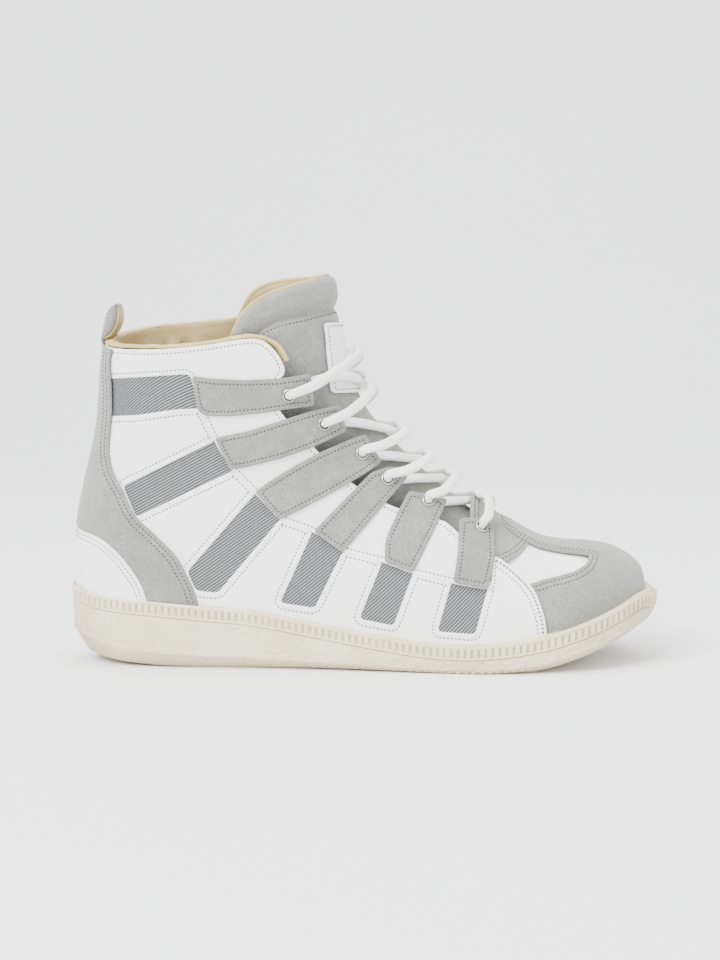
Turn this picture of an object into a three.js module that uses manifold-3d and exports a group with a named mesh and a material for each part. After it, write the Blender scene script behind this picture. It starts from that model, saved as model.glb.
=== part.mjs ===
// Basketball high top, right shoe: millimetres, +Z up, toe towards +X, lateral side towards -Y.
// The upper is a stack of thin layers that follow one foot shape; each panel is a layer cut by its side-view outline.
import * as THREE from "three";
import { mergeVertices } from "three/addons/utils/BufferGeometryUtils.js";
import Module from "manifold-3d";

// ---- overall sizes ----
const SOLE_LENGTH = 295; // outsole, heel to toe
const SOLE_WIDTH = 104; // outsole, across the ball of the foot
const TONGUE_TOP = 191; // top of the tongue above the floor
// ---- materials and clearances ----
const GAP = 0.3; // between neighbouring pieces
const SUEDE = 1.2; // straps, toe cap, heel stay
const LEATHER = 1.2; // quarters, eyestays
const BASE = 1.2; // vamp and textile under the windows
const FOAM = 1.6; // collar foam, counter, toe puff
const LINING = 1.0;
const TONGUE_FOAM = 4.5;
const LACE = 3.6; // lace diameter, as a round cord
const EYELET_BORE = 5.2;
const EYELET_RIM = 8.4;
const PIPING = 2.4; // piping diameter
const SOLE_WALL = 9; // width of the outsole's rim
const FOXING = 1.4; // thickness of the ribbed strip round the sole
const FOXING_HEIGHT = 7;
const COLLAR_TILT = 9; // degrees the collar rises to the medial side
const TONGUE_EASE = 0.93; // tongue width against the width inside the lining
const TAB_WIDTH = 16;
const TAB_HEIGHT = 17.6;

// The tables below are in millimetres for a shoe of 295 x 104 x 191; these factors carry them to the sizes above.
const KX = SOLE_LENGTH / 295, KY = SOLE_WIDTH / 104, KZ = TONGUE_TOP / 191;

const wasm = await Module();
wasm.setup();
const { Manifold, Mesh } = wasm;

// ---- offsets of each layer's outer face from the quarter's outer face ----
const D_QUARTER = 0;
const D_SUEDE = GAP + SUEDE;
const D_BASE = -LEATHER - GAP;
const D_FOAM = D_BASE - BASE - GAP;
const D_LINING = D_FOAM - FOAM - GAP;
const D_TONGUE = D_LINING - LINING - GAP;
const D_TONGUE_FOAM = D_TONGUE - SUEDE - GAP;
const D_TONGUE_LINING = D_TONGUE_FOAM - TONGUE_FOAM - GAP;

// ---- the foot shape ----
// Stations from toe to collar: front x, z; bottom or back x, z; depth of the shoulder; squareness.
const STATIONS = [
  [140.6, 36, 140.6, -4, 26, 2.2], [139.4, 42.5, 139.4, -4, 28, 2.2], [136.5, 47, 136.5, -4, 30, 2.2],
  [131, 51.3, 131, -4, 33, 2.2], [123, 54.8, 123, -4, 35, 2.2], [112, 56.6, 112, -4, 37, 2.2],
  [100, 57.6, 100, -4, 40, 2.1], [89, 60.2, 89, -4, 45, 1.95], [79, 65.5, 78, -4, 51, 1.8],
  [69.5, 72, 66, -4, 58, 1.7], [59, 79.8, 52, -4, 64, 1.7], [47, 89.5, 36, -4, 70, 1.7],
  [34.5, 100.5, 16, -4, 74, 1.7], [23, 112, -8, -4, 74, 1.75], [13.5, 123, -34, -4, 72, 1.8],
  [7, 133.5, -60, -4, 68, 1.85], [2.5, 143, -84, -4, 64, 1.9], [0, 151, -106, -4, 60, 1.95],
  [-1.5, 158, -124, -4, 56, 2], [-2.5, 164, -136, -4, 54, 2], [-3, 169, -142.5, 4, 52, 2],
  [-3.5, 173.5, -143.6, 24, 50, 2], [-4, 178, -144.3, 46, 50, 2], [-4, 182.5, -143.2, 68, 50, 2],
  [-4.5, 187.5, -138.5, 91, 50, 2], [-5, 193, -132.5, 114, 50, 2], [-5, 199, -129.6, 137, 50, 2],
  [-5, 206, -127.5, 160, 50, 2], [-5, 214, -126, 184, 50, 2],
];
// Heel line as height, x; half widths as x, width low down and height, width in the shaft.
const HEEL_LINE = [
  [-10, -142], [10, -142.6], [27, -143.6], [46, -144.4], [60, -143.9], [75, -142.2], [91, -138.5],
  [105, -134.8], [118, -131.6], [132, -129.9], [146, -128.8], [160, -127], [190, -125.5],
];
const HALF_WIDTH = {
  "-1": [[-146, 32], [-110, 32], [-80, 33], [-50, 35.5], [-20, 38.5], [10, 42], [40, 46], [70, 48.5],
    [100, 48.5], [141, 48]],
  1: [[-146, 31.5], [-110, 31.5], [-80, 31], [-50, 29.5], [-25, 29], [0, 31], [25, 35.5], [50, 41.5],
    [75, 46], [100, 46.5], [141, 46]],
};
const SHAFT_WIDTH = [[0, 33], [45, 33], [70, 31.5], [95, 30], [120, 31.5], [145, 34], [160, 35.5], [220, 36]];
const TOE_TIP = 140.9, TOE_ROUNDING = { "-1": 60, 1: 40 }, HEEL_ROUNDING = 38;

// Smooth curve through a table of [key, value] rows.
function table(rows, key) {
  const last = rows.length - 1;
  if (key <= rows[0][0]) return rows[0][1];
  if (key >= rows[last][0]) return rows[last][1];
  let k = 0;
  while (rows[k + 1][0] < key) k++;
  const row = (i) => rows[Math.min(Math.max(i, 0), last)];
  const [x0, y0] = row(k - 1), [x1, y1] = row(k), [x2, y2] = row(k + 1), [x3, y3] = row(k + 2);
  const h = x2 - x1, t = (key - x1) / h;
  const m1 = ((y2 - y0) / (x2 - x0)) * h, m2 = ((y3 - y1) / (x3 - x1)) * h;
  return (2 * t ** 3 - 3 * t * t + 1) * y1 + (t ** 3 - 2 * t * t + t) * m1 +
    (3 * t * t - 2 * t ** 3) * y2 + (t ** 3 - t * t) * m2;
}
const clamp = (v, a, b) => Math.min(Math.max(v, a), b);
const ease = (v, a, b) => { const t = clamp((v - a) / (b - a), 0, 1); return t * t * (3 - 2 * t); };
const rounding = (u, p) => (1 - (1 - clamp(u, 0, 1)) ** p) ** (1 / p);

// One station, with its front and back ends moved outwards by d.
function station(s, d) {
  const last = STATIONS.length - 1;
  const value = (u, c) => {
    u = clamp(u, 0, last);
    const k = Math.min(Math.floor(u), last - 1), t = u - k;
    const p = (i) => STATIONS[clamp(i, 0, last)][c];
    const a = p(k - 1), b = p(k), e = p(k + 1), f = p(k + 2);
    return 0.5 * (2 * b + (e - a) * t + (2 * a - 5 * b + 4 * e - f) * t * t + (3 * b - a - 3 * e + f) * t ** 3);
  };
  const normal = (cx, cz, sign) => {
    const dx = value(s + 0.3, cx) - value(s - 0.3, cx), dz = value(s + 0.3, cz) - value(s - 0.3, cz);
    const len = Math.hypot(dx, dz) || 1;
    return [(sign * dz) / len, (-sign * dx) / len];
  };
  const [fnx, fnz] = normal(0, 1, 1);
  let [bnx, bnz] = normal(2, 3, -1);
  bnx += ease(value(s, 2), 95, 135);
  return {
    fx: value(s, 0) + d * fnx, fz: value(s, 1) + d * fnz,
    bx: value(s, 2) + d * bnx, bz: value(s, 3) + d * bnz,
    depth: value(s, 4), square: value(s, 5),
  };
}
const middle = (x) => 4 * ease(x, 40, 140);

// Half width of the foot shape at side-view point (x, z), grown outwards by d.
function halfWidth(side, x, z, d, deep, depth, square) {
  const low = table(HALF_WIDTH[side], x), high = table(SHAFT_WIDTH, z);
  const w = low + (high - low) * ease(z, 35, 80) * ease(-x, -45, 20);
  return (w + d) * rounding(deep / depth, square) *
    rounding((x - (table(HEEL_LINE, z) - d)) / HEEL_ROUNDING, 2) *
    rounding((TOE_TIP + d - x) / TOE_ROUNDING[side], 2.2);
}

// Point on the foot shape: station s, t from 0 at the front line to 1 at the bottom or back, offset d.
function skin(side, s, t, d) {
  const r = station(s, d);
  const x = r.fx + (r.bx - r.fx) * t, z = r.fz + (r.bz - r.fz) * t;
  const deep = t * Math.hypot(r.bx - r.fx, r.bz - r.fz);
  let half = halfWidth(side, x, z, d, deep, r.depth, r.square);
  if (t > 0) half = Math.max(half, 0.4);
  return new THREE.Vector3(x * KX, (middle(x) + side * half) * KY, z * KZ);
}

// Station and t of a side-view point on the surface at offset d.
function locate(x, z, d) {
  let a = 0, b = STATIONS.length - 1;
  const beyond = (s) => {
    const r = station(s, d);
    return (r.bx - r.fx) * (z - r.fz) - (r.bz - r.fz) * (x - r.fx) < 0;
  };
  for (let i = 0; i < 30; i++) beyond((a + b) / 2) ? (a = (a + b) / 2) : (b = (a + b) / 2);
  const s = (a + b) / 2, r = station(s, d), ux = r.bx - r.fx, uz = r.bz - r.fz;
  return { s, t: clamp(((x - r.fx) * ux + (z - r.fz) * uz) / (ux * ux + uz * uz), 0, 1) };
}
const onSkin = (side, x, z, d) => { const { s, t } = locate(x, z, d); return skin(side, s, t, d); };
function skinNormal(side, s, t) {
  const a = skin(side, s + 0.05, t, 0).sub(skin(side, s - 0.05, t, 0));
  const b = skin(side, s, t + 0.01, 0).sub(skin(side, s, t - 0.01, 0));
  return a.cross(b).normalize().multiplyScalar(-side);
}

// ---- solids ----
function solid(geometry) {
  const g = mergeVertices(new THREE.BufferGeometry()
    .setAttribute("position", geometry.getAttribute("position"))
    .setIndex(geometry.index), 1e-4);
  const made = new Manifold(new Mesh({
    numProp: 3, vertProperties: new Float32Array(g.attributes.position.array), triVerts: new Uint32Array(g.index.array),
  }));
  if (made.volume() >= 0) return made;
  const flipped = new Uint32Array(g.index.array);
  for (let i = 0; i < flipped.length; i += 3) [flipped[i], flipped[i + 1]] = [flipped[i + 1], flipped[i]];
  return new Manifold(new Mesh({
    numProp: 3, vertProperties: new Float32Array(g.attributes.position.array), triVerts: flipped,
  }));
}

// Closed loops of equal length joined into one solid. The ends are flat fans, or for a curved
// end a ladder of rungs between the two sides of the loop.
function loft(loops, ladder = false) {
  const n = loops[0].length, pos = [], index = [];
  loops.forEach((loop) => loop.forEach((p) => pos.push(p.x, p.y, p.z)));
  for (let i = 0; i + 1 < loops.length; i++)
    for (let j = 0; j < n; j++) {
      const k = (j + 1) % n, a = i * n + j, b = i * n + k, c = a + n, e = b + n;
      index.push(a, b, c, b, e, c);
    }
  [0, loops.length - 1].forEach((row, end) => {
    if (ladder) {
      const face = (a, b, c) => index.push(...(end ? [a, b, c] : [b, a, c]).map((j) => row * n + (j % n)));
      for (let j = 0; j < n / 2; j++) {
        if (j > 0) face(j, j + 1, n - j);
        if (j < n / 2 - 1) face(j + 1, n - j - 1, n - j);
      }
      return;
    }
    const centre = new THREE.Vector3();
    loops[row].forEach((p) => centre.addScaledVector(p, 1 / n));
    const c = pos.length / 3;
    pos.push(centre.x, centre.y, centre.z);
    for (let j = 0; j < n; j++) {
      const a = row * n + j, b = row * n + ((j + 1) % n);
      if (end) index.push(a, b, c);
      else index.push(b, a, c);
    }
  });
  return solid(new THREE.BufferGeometry().setAttribute("position", new THREE.Float32BufferAttribute(pos, 3))
    .setIndex(index));
}

const ROUND_STEPS = 7;
const RINGS = [0, 1, 2, 3, 4.5, 6, 7, 8, 9, 10, 11.5, 13, 14.5, 16, 17.5, 19, 20, 21, 22, 23.5, 25, 26.5, 28];
const bodies = new Map();
function body(d, wide = 1) {
  const key = d + "/" + wide;
  if (!bodies.has(key)) {
    const loops = RINGS.map((s) => {
      const loop = [];
      for (let j = 0; j <= ROUND_STEPS; j++)
        loop.push(skin(-1, s, (1 - Math.cos((Math.PI * j) / ROUND_STEPS)) / 2, d));
      for (let j = ROUND_STEPS; j > 0; j--)
        loop.push(skin(1, s, (1 - Math.cos((Math.PI * j) / ROUND_STEPS)) / 2, d));
      loop.forEach((p) => { p.y *= wide; });
      return loop;
    });
    bodies.set(key, loft(loops));
  }
  return bodies.get(key);
}
const layer = (outer, thickness, wide = 1) => body(outer, wide).subtract(body(outer - thickness, wide));

// A prism through the shoe, from side-view points [x, z], between two y values, lifted by rise(y).
function prism(points, y0 = -90, y1 = 90, rise = () => 0) {
  const shape = new THREE.Shape(points.map(([x, z]) => new THREE.Vector2(x * KX, z * KZ)));
  const g = new THREE.ExtrudeGeometry(shape, { depth: y1 - y0, bevelEnabled: false });
  g.rotateX(Math.PI / 2).translate(0, y1, 0);
  const at = g.getAttribute("position");
  for (let i = 0; i < at.count; i++) at.setZ(i, at.getZ(i) + rise(at.getY(i)));
  return solid(new THREE.BufferGeometry().setAttribute("position", g.getAttribute("position"))
    .setIndex([...Array(g.getAttribute("position").count).keys()]));
}
// A prism straight down through the shoe, from plan-view points [x, y].
function plan(points, z0 = -20, z1 = 260) {
  const shape = new THREE.Shape(points.map(([x, y]) => new THREE.Vector2(x * KX, y * KY)));
  const g = new THREE.ExtrudeGeometry(shape, { depth: z1 - z0, bevelEnabled: false }).translate(0, 0, z0);
  return solid(new THREE.BufferGeometry().setAttribute("position", g.getAttribute("position"))
    .setIndex([...Array(g.getAttribute("position").count).keys()]));
}
const half = (side, points) => (side < 0 ? prism(points, -90, 0) : prism(points, 0, 90));
// A round cord through points.
function cord(points, diameter, steps, closed = false) {
  const curve = new THREE.CatmullRomCurve3(points, closed, "centripetal");
  const section = new THREE.Shape();
  section.absarc(0, 0, diameter / 2, 0, 2 * Math.PI);
  const g = new THREE.ExtrudeGeometry(section, { steps, extrudePath: curve, curveSegments: 4 });
  return solid(new THREE.BufferGeometry().setAttribute("position", g.getAttribute("position"))
    .setIndex([...Array(g.getAttribute("position").count).keys()]));
}

const shoe = new THREE.Group();
const COLOURS = {
  leather: 0xededeb, suede: 0xb2b5b0, textile: 0x9fa3a3, cream: 0xe6e0cc, lining: 0xc8b48a, piping: 0xdccfa4,
  metal: 0xc0c0c0, lace: 0xf4f4f2, foam: 0xd8d4c8, board: 0xb99f7c, stiffener: 0xcfc9bb,
};
function add(name, colour, made) {
  const m = made.getMesh();
  const g = new THREE.BufferGeometry()
    .setAttribute("position", new THREE.BufferAttribute(new Float32Array(m.vertProperties), 3))
    .setIndex(new THREE.BufferAttribute(new Uint32Array(m.triVerts), 1));
  g.computeVertexNormals();
  const material = new THREE.MeshStandardMaterial({ color: COLOURS[colour], roughness: 0.8 });
  const mesh = new THREE.Mesh(g, material);
  mesh.name = name;
  shoe.add(mesh);
}

// ---- side-view outlines ----
const SOLE_TOP = [
  [-150, 40.5], [-140, 38.5], [-130, 36.2], [-101, 33.5], [-76, 31.3], [-51, 29], [-23, 24], [2, 19.6],
  [35, 14.8], [56, 14], [73, 15.4], [91, 18.3], [106, 22.3], [120, 27.1], [136, 33.9], [144, 37.5], [150, 40],
];
const SOLE_EDGE = [
  [-150, 18], [-137, 13.3], [-125, 9.9], [-110, 7.5], [-93, 6], [-52, 4], [2, 1.5], [35, 0.4], [62, 0], [80, 1.6],
  [91, 3.6], [106, 7.6], [120, 12.2], [136, 18.8], [150, 26],
];
const COLLAR = [[-150, 155], [-127, 155], [-118, 155.6], [-107, 156.4], [-86, 157.2], [-67, 159], [-57, 160.8], [-48, 161.6]];
const EYESTAY_EDGE = [
  [-42.7, 160.7], [-39.1, 158], [-34.5, 152.3], [-32, 145], [-37.5, 139], [-37, 128], [-31, 120], [-22, 111], [-9, 96],
  [6, 85], [20, 78.5], [33, 75], [44, 71.5], [50, 66], [56, 60], [64, 55.4],
];
// Where the straps' lower ends, the upper stays and the lower panels meet.
const SEAM = [
  [-132, 142.6], [-122, 142.8], [-79, 145], [-77, 136], [-75, 127], [-71, 118], [-66.5, 108], [-60, 97.5], [-49, 86],
  [-37, 73], [-20, 67], [-5, 57.5], [14, 53], [29, 47.5], [47, 43], [66, 39.6],
];
const QUARTER_FRONT = [
  [68, 54.6], [70, 53.6], [75, 50.5], [80, 46.5], [85, 41.5], [88, 37], [90, 31], [92, 25], [93, 8],
];
const HEEL_STAY = [
  [-119, 170], [-119.5, 158], [-122, 152], [-121, 142], [-121, 126], [-123, 113], [-123, 106], [-121, 97], [-115, 89],
  [-111, 80], [-107, 74], [-100, 68], [-94, 62], [-88, 56], [-84, 48], [-79.5, 39], [-76, 24],
];
const HEEL_CAP = [
  [-160, 70], [-144, 68.3], [-129, 65.5], [-121, 60.5], [-115, 55], [-109, 47], [-105, 40], [-100, 20], [-160, 20],
];
const STRAPS = [
  [[-78, 144], [-68, 142.4], [-52, 141.6], [-35, 142], [-20, 144], [-18.6, 128.6], [-29, 127.6], [-44, 125.4],
    [-60, 124], [-72, 124.4], [-76, 127.4]],
  [[-68, 113.5], [-52, 116.5], [-35, 121.6], [-20, 126], [-7, 128.4], [-3.6, 116], [-14, 111], [-21, 108], [-36, 103],
    [-53, 99], [-61, 98]],
  [[-49, 87], [-40, 93], [-28, 100], [-16, 106], [-4, 111], [5, 114], [13, 100.4], [3, 94], [-12, 85.6], [-29, 77],
    [-37, 73.4]],
  [[-20, 67.4], [-18, 70], [-4, 84], [8, 95.6], [17, 98.4], [26, 93.4], [-6, 57.8]],
  [[14.6, 53.6], [15, 64], [21, 77], [26.4, 86.6], [45, 82], [38, 67], [28.4, 48.4]],
  [[48, 43.6], [50, 57], [51, 73], [67, 72], [68, 55], [64.6, 40.4]],
];
const EYELETS = [[-31, 134], [-15, 119.5], [3, 104.4], [15.6, 91.6], [35, 80.6], [60.4, 67]];
// Openings in the lower panels, one under each strap; the first two run back to the heel stay.
const WINDOWS = [
  [[-127, 141], [-79, 143.6], [-76, 128], [-87, 127.6], [-107, 125], [-127, 124]],
  [[-115, 90], [-67, 112.4], [-61, 96.6], [-108, 75]],
  [[-49.6, 85], [-37, 73], [-68, 37.6], [-79, 38.6], [-83, 48]],
  [[-21, 66.6], [-6, 57], [-20, 30.6], [-37, 33]],
  [[13.6, 52.6], [28, 46.6], [18.6, 22.6], [2, 25.6]],
  [[47, 42.4], [64, 39], [58, 19], [40, 20.2]],
];

// ---- cutting solids ----
const rimLine = [...Array(26).keys()].map((i) => [12 * i - 150, table(SOLE_TOP, 12 * i - 150)]);
// Everything under the line of the outsole's rim, raised by lift.
const underRim = (lift) => prism([...rimLine.map(([x, z]) => [x, z + lift / KZ]), [150, -40], [-150, -40]]);
const onRim = underRim(GAP + 0.2);
// The collar is measured on the lateral side and turned about that side's width.
const collarRise = (y) => (y / KY + 33) * Math.tan((COLLAR_TILT * Math.PI) / 180) * KZ;
const shaftTop = prism([...COLLAR, ...EYESTAY_EDGE.slice(0, 3), [-10, 149], [160, 149], [160, 300], [-150, 300]],
  -90, 90, collarRise);
const upper = (outer, thickness) => layer(outer, thickness).subtract(onRim).subtract(shaftTop);
const shift = (line, dx, dz) => line.map(([x, z]) => [x + dx, z + dz]);

const suede = upper(D_SUEDE, SUEDE), leather = upper(D_QUARTER, LEATHER), base = upper(D_BASE, BASE);
const foam = upper(D_FOAM, FOAM), lining = upper(D_LINING, LINING);

for (const [side, word] of [[-1, "lateral"], [1, "medial"]]) {
  // Upper stays: above the seam, back of the lacing edge.
  const stays = [...SEAM.map(([x, z]) => [x, z + GAP]), ...[...EYESTAY_EDGE].reverse(), [-45, 190], [-115, 190],
    [-114.4, 150], [-132, 150]];
  add(word + "_eyestay", "leather", leather.intersect(half(side, stays)));
  // Lower panels: under the seam, with a window under each strap.
  const lower = [...shift(SEAM, 0, -GAP), [66.3, 55], ...QUARTER_FRONT, [-120, 8], [-100, 24], [-106, 52], [-114, 60],
    [-118, 80], [-128, 96]];
  const panels = WINDOWS.reduce((m, w, i) => m.subtract(half(side, w)), leather.intersect(half(side, lower)));
  add(word + "_quarter", "leather", panels);
  // One textile piece behind all the windows.
  const textile = [[-127, 144], [-71, 146], [-68, 130], [-58, 104], [-45, 91], [-30, 77], [-6, 66], [20, 60], [50, 50],
    [66, 46], [61, 6], [-120, 8], [-124, 60], [-131, 96]];
  add(word + "_textile", "textile", base.intersect(half(side, textile)));
  STRAPS.forEach((outline, i) => {
    const { s, t } = locate(...EYELETS[i], 0);
    const centre = skin(side, s, t, 0), out = skinNormal(side, s, t);
    const turn = new THREE.Quaternion().setFromUnitVectors(new THREE.Vector3(0, 1, 0), out);
    const place = (g) => g.applyQuaternion(turn).translate(centre.x, centre.y, centre.z);
    const hole = solid(place(new THREE.CylinderGeometry(EYELET_BORE / 2 + 0.5 + GAP, EYELET_BORE / 2 + 0.5 + GAP, 14, 12)));
    add(word + "_strap_" + (i + 1), "suede", suede.intersect(half(side, outline)).subtract(hole));
    // Eyelet: a barrel through the strap with a rolled rim on the outside.
    const bore = EYELET_BORE / 2, rim = EYELET_RIM / 2, face = D_SUEDE + GAP + 0.2;
    const profile = [[bore, -0.4], [bore, face + 1], [rim, face + 0.4], [bore + 0.5, face], [bore + 0.5, -0.4],
      [bore, -0.4]].map(([r, h]) => new THREE.Vector2(r, h));
    add(word + "_eyelet_" + (i + 1), "metal", solid(place(new THREE.LatheGeometry(profile, 10))));
  });
}

// ---- toe: vamp, cap with its centre strip, tongue base ----
const STRIP_HALF = 16, CAP_EDGE = [[112, 20], [108, 30], [101, 42], [92, 52], [84, 62]];
const vampZone = prism([[76, 95], [76, 58], [70, 45], [66.4, 6], [160, 6], [160, 90]]);
add("vamp", "leather", base.intersect(vampZone));
const strip = plan([[68.4, -8], [72, -STRIP_HALF + 3], [84, -STRIP_HALF], [112, -STRIP_HALF - 3], [150, -STRIP_HALF - 3],
  [150, STRIP_HALF + 5], [112, STRIP_HALF + 5], [84, STRIP_HALF], [72, STRIP_HALF - 3], [68.4, 8]], 40, 120);
const capFront = plan([[112, -22], [104, -30], [94, -42], [84, -52], [76, -80], [170, -80], [170, 80], [74, 80],
  [82, 52], [92, 42], [102, 32], [112, 24]]);
const capSides = prism([[111.5, 70], [113, 51], [106, 46.4], [95, 44.6], [86.5, 43.4], [91, 36], [94, 28], [95, 8],
  [160, 8], [160, 80]]);
add("toe_cap", "suede", suede.intersect(capFront.intersect(capSides).add(strip)));
add("tongue_base", "suede", leather.intersect(prism([[75, 90], [75, 55], [77, 54], [80, 55], [83, 58], [85, 62],
  [86, 90]])).intersect(plan([[60, -32], [90, -20], [90, 22], [60, 32]])));

// ---- heel ----
const heelZone = prism([...HEEL_STAY, [-160, 24], [-160, 170]]);
const cap = prism(HEEL_CAP);
add("heel_stay", "suede", suede.intersect(heelZone).subtract(prism([[-160, 70.4], ...shift(HEEL_CAP.slice(1, 8), 0.4, 0.4),
  [-160, 20]])));
add("heel_cap", "leather", suede.intersect(cap));

// ---- inside the upper ----
const throat = prism([...shift(EYESTAY_EDGE, -4, -3), [70, 49.6], [73, 56], [74, 300], [-46, 300]]);
add("quarter_lining", "lining", lining.subtract(throat).subtract(prism([[40, 4], [160, 4], [160, 120], [40, 120]])));
add("vamp_lining", "lining", lining.subtract(throat).intersect(prism([[40 + GAP, 4], [160, 4], [160, 120],
  [40 + GAP, 120]])));
add("collar_foam", "foam", foam.subtract(throat).intersect(prism([[-160, 112], [-60, 112], [-48, 130], [-44, 200],
  [-160, 200]])));
add("heel_counter", "stiffener", foam.intersect(prism([[-160, 20], [-70, 20], [-76, 60], [-100, 84], [-160, 90]])));
add("toe_puff", "stiffener", foam.intersect(prism([[106, 8], [104, 80], [170, 80], [170, 8]])));

// ---- tongue ----
// Its top edge also rises to the medial side.
const tongueRise = (y) => (y / KY + 26) * 0.17 * KZ;
const tongueZone = prism([[20, 186.6], [-12, 186.2], [-16, 186], [-22, 185.2], [-31, 184.6], [-41, 182.2], [-48.5, 178.4],
  [-54, 173], [-58, 165.6], [-60, 161], [-62, 148], [-58, 128], [-45, 103], [-25, 86], [0, 72], [30, 58], [56, 46],
  [69, 58], [69, 100]], -90, 90, tongueRise);
// The tongue is a little narrower than the opening, so that it can swing back into it.
const tongueLayer = (outer, thickness) => layer(outer, thickness, TONGUE_EASE).intersect(tongueZone);
add("tongue_suede", "suede", tongueLayer(D_TONGUE, SUEDE));
add("tongue_padding", "foam", tongueLayer(D_TONGUE_FOAM, TONGUE_FOAM));
add("tongue_lining", "lining", tongueLayer(D_TONGUE_LINING, LINING));
add("tongue_label", "leather", layer(D_TONGUE + GAP + 0.8, 0.8, TONGUE_EASE).intersect(prism([[30, 168], [-40, 168],
  [-40, 139], [30, 139]])).intersect(plan([[-60, -13], [30, -13], [30, 13], [-60, 13]])));

// Piping along an edge given in side view, on both sides, at offset d.
function pipingPoints(edge, d) {
  const near = edge.map(([x, z]) => onSkin(-1, x, z, d)), far = edge.map(([x, z]) => onSkin(1, x, z, d));
  return [...near, ...far.reverse()];
}
const TONGUE_EDGE = [[-61.4, 161.5], [-59.6, 166.4], [-55.4, 174], [-49.6, 179.8], [-41.6, 183.8], [-31.2, 186.2],
  [-23, 187]];
add("tongue_piping", "piping", cord(pipingPoints(TONGUE_EDGE, D_TONGUE_FOAM - 1.5)
  .map((p) => new THREE.Vector3(p.x, p.y * TONGUE_EASE, p.z + 1.2 + tongueRise(p.y * TONGUE_EASE))), PIPING, 30));
const COLLAR_EDGE = [[-30, 146], [-32.4, 153.4], [-37, 159.6], [-42, 162.8], [-48, 163.8], [-57, 163], [-67, 161.2],
  [-86, 159.5], [-107, 158.7], [-118, 157.9], [-124, 157.4]];
const collarPoints = (side) => COLLAR_EDGE.map(([x, z]) => {
  const p = onSkin(side, x, z, D_BASE - 0.7);
  return p.add(new THREE.Vector3(0, 0, collarRise(p.y) * ease(-x, 32, 42)));
});
add("collar_piping", "piping", cord([...collarPoints(-1), ...collarPoints(1).reverse()], PIPING, 44));

// ---- lace: out of each eyelet, over the tongue and under the opposite strap one step up ----
const LACE_UNDER = D_TONGUE + GAP + LACE / 2 + 0.2, LACE_OVER = D_SUEDE + GAP + LACE / 2 + 2.3;
const LACE_LOW = D_TONGUE + 2 * GAP + 1.2 + LACE / 2, LACE_HIGH = LACE_LOW + LACE + GAP + 0.3;
const spot = (i) => locate(...EYELETS[i], 0);
// Point at height d over an eyelet, ds stations further up the shoe and dt further round it.
function overEyelet(side, i, d, ds = 0, dt = 0) {
  const { s, t } = spot(i);
  return skin(side, s + ds, t + dt, 0).addScaledVector(skinNormal(side, s, t), d);
}
// From one eyelet to the one above it on the other side, passing the middle at the given height.
function crossing(side, i, middleHeight) {
  const a = spot(i), b = i > 0 ? spot(i - 1) : { s: a.s + 0.55, t: a.t * 0.8 };
  const points = [overEyelet(side, i, D_SUEDE + 1.4), overEyelet(side, i, LACE_OVER - 0.4, 0.03, -0.004)];
  for (const w of [-0.84, -0.68, -0.5, -0.3, -0.1, 0.1, 0.3, 0.45, 0.6, 0.75]) {
    const s = a.s + ((b.s - a.s) * (w + 1)) / 2, t = (w < 0 ? a.t : b.t) * Math.abs(w) ** 1.8;
    const end = w < 0 ? LACE_OVER : LACE_UNDER;
    points.push(skin(w < 0 ? side : -side, s, t, middleHeight + (end - middleHeight) * ease(Math.abs(w), 0.05, 0.42)));
  }
  if (i > 0) points.push(overEyelet(-side, i - 1, LACE_UNDER + 1.3), overEyelet(-side, i - 1, -0.6));
  else points.push(skin(-side, b.s, b.t, LACE_UNDER));
  return points;
}
function laceHalf(start) {
  const points = [overEyelet(start, 5, LACE_UNDER + 1.3), overEyelet(start, 5, -0.6)];
  for (let i = 5, side = start; i >= 0; i--, side = -side)
    points.push(...crossing(side, i, side < 0 ? LACE_HIGH : LACE_LOW));
  return points;
}
const bar = [-0.75, -0.4, 0, 0.4, 0.75].map((w) => {
  const { s, t } = spot(5);
  return skin(w < 0 ? -1 : 1, s - 0.85 * (1 - w * w), t * Math.abs(w) ** 1.8, LACE_UNDER + 0.6);
});
add("lace", "lace", cord([...laceHalf(-1).reverse(), ...bar, ...laceHalf(1)], LACE, 184));

// ---- sole ----
const PLAN_STEPS = 36;
const SOLE_HALF = {
  "-1": [[-147.5, 0], [-145, 14], [-138, 22.5], [-125, 30], [-105, 34.4], [-80, 36], [-50, 37.6], [-20, 40.4],
    [10, 44.6], [40, 49], [65, 51.4], [90, 51], [110, 46.6], [125, 38.6], [136, 28.6], [143.6, 17], [147.5, 0]],
  1: [[-147.5, 0], [-145, 14], [-138, 22.5], [-125, 29.6], [-105, 33.4], [-80, 33.4], [-50, 32], [-20, 32], [10, 35.6],
    [40, 43], [65, 49.4], [90, 52.6], [110, 52], [125, 46.6], [136, 36], [143.6, 22], [147.5, 0]],
};
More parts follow.
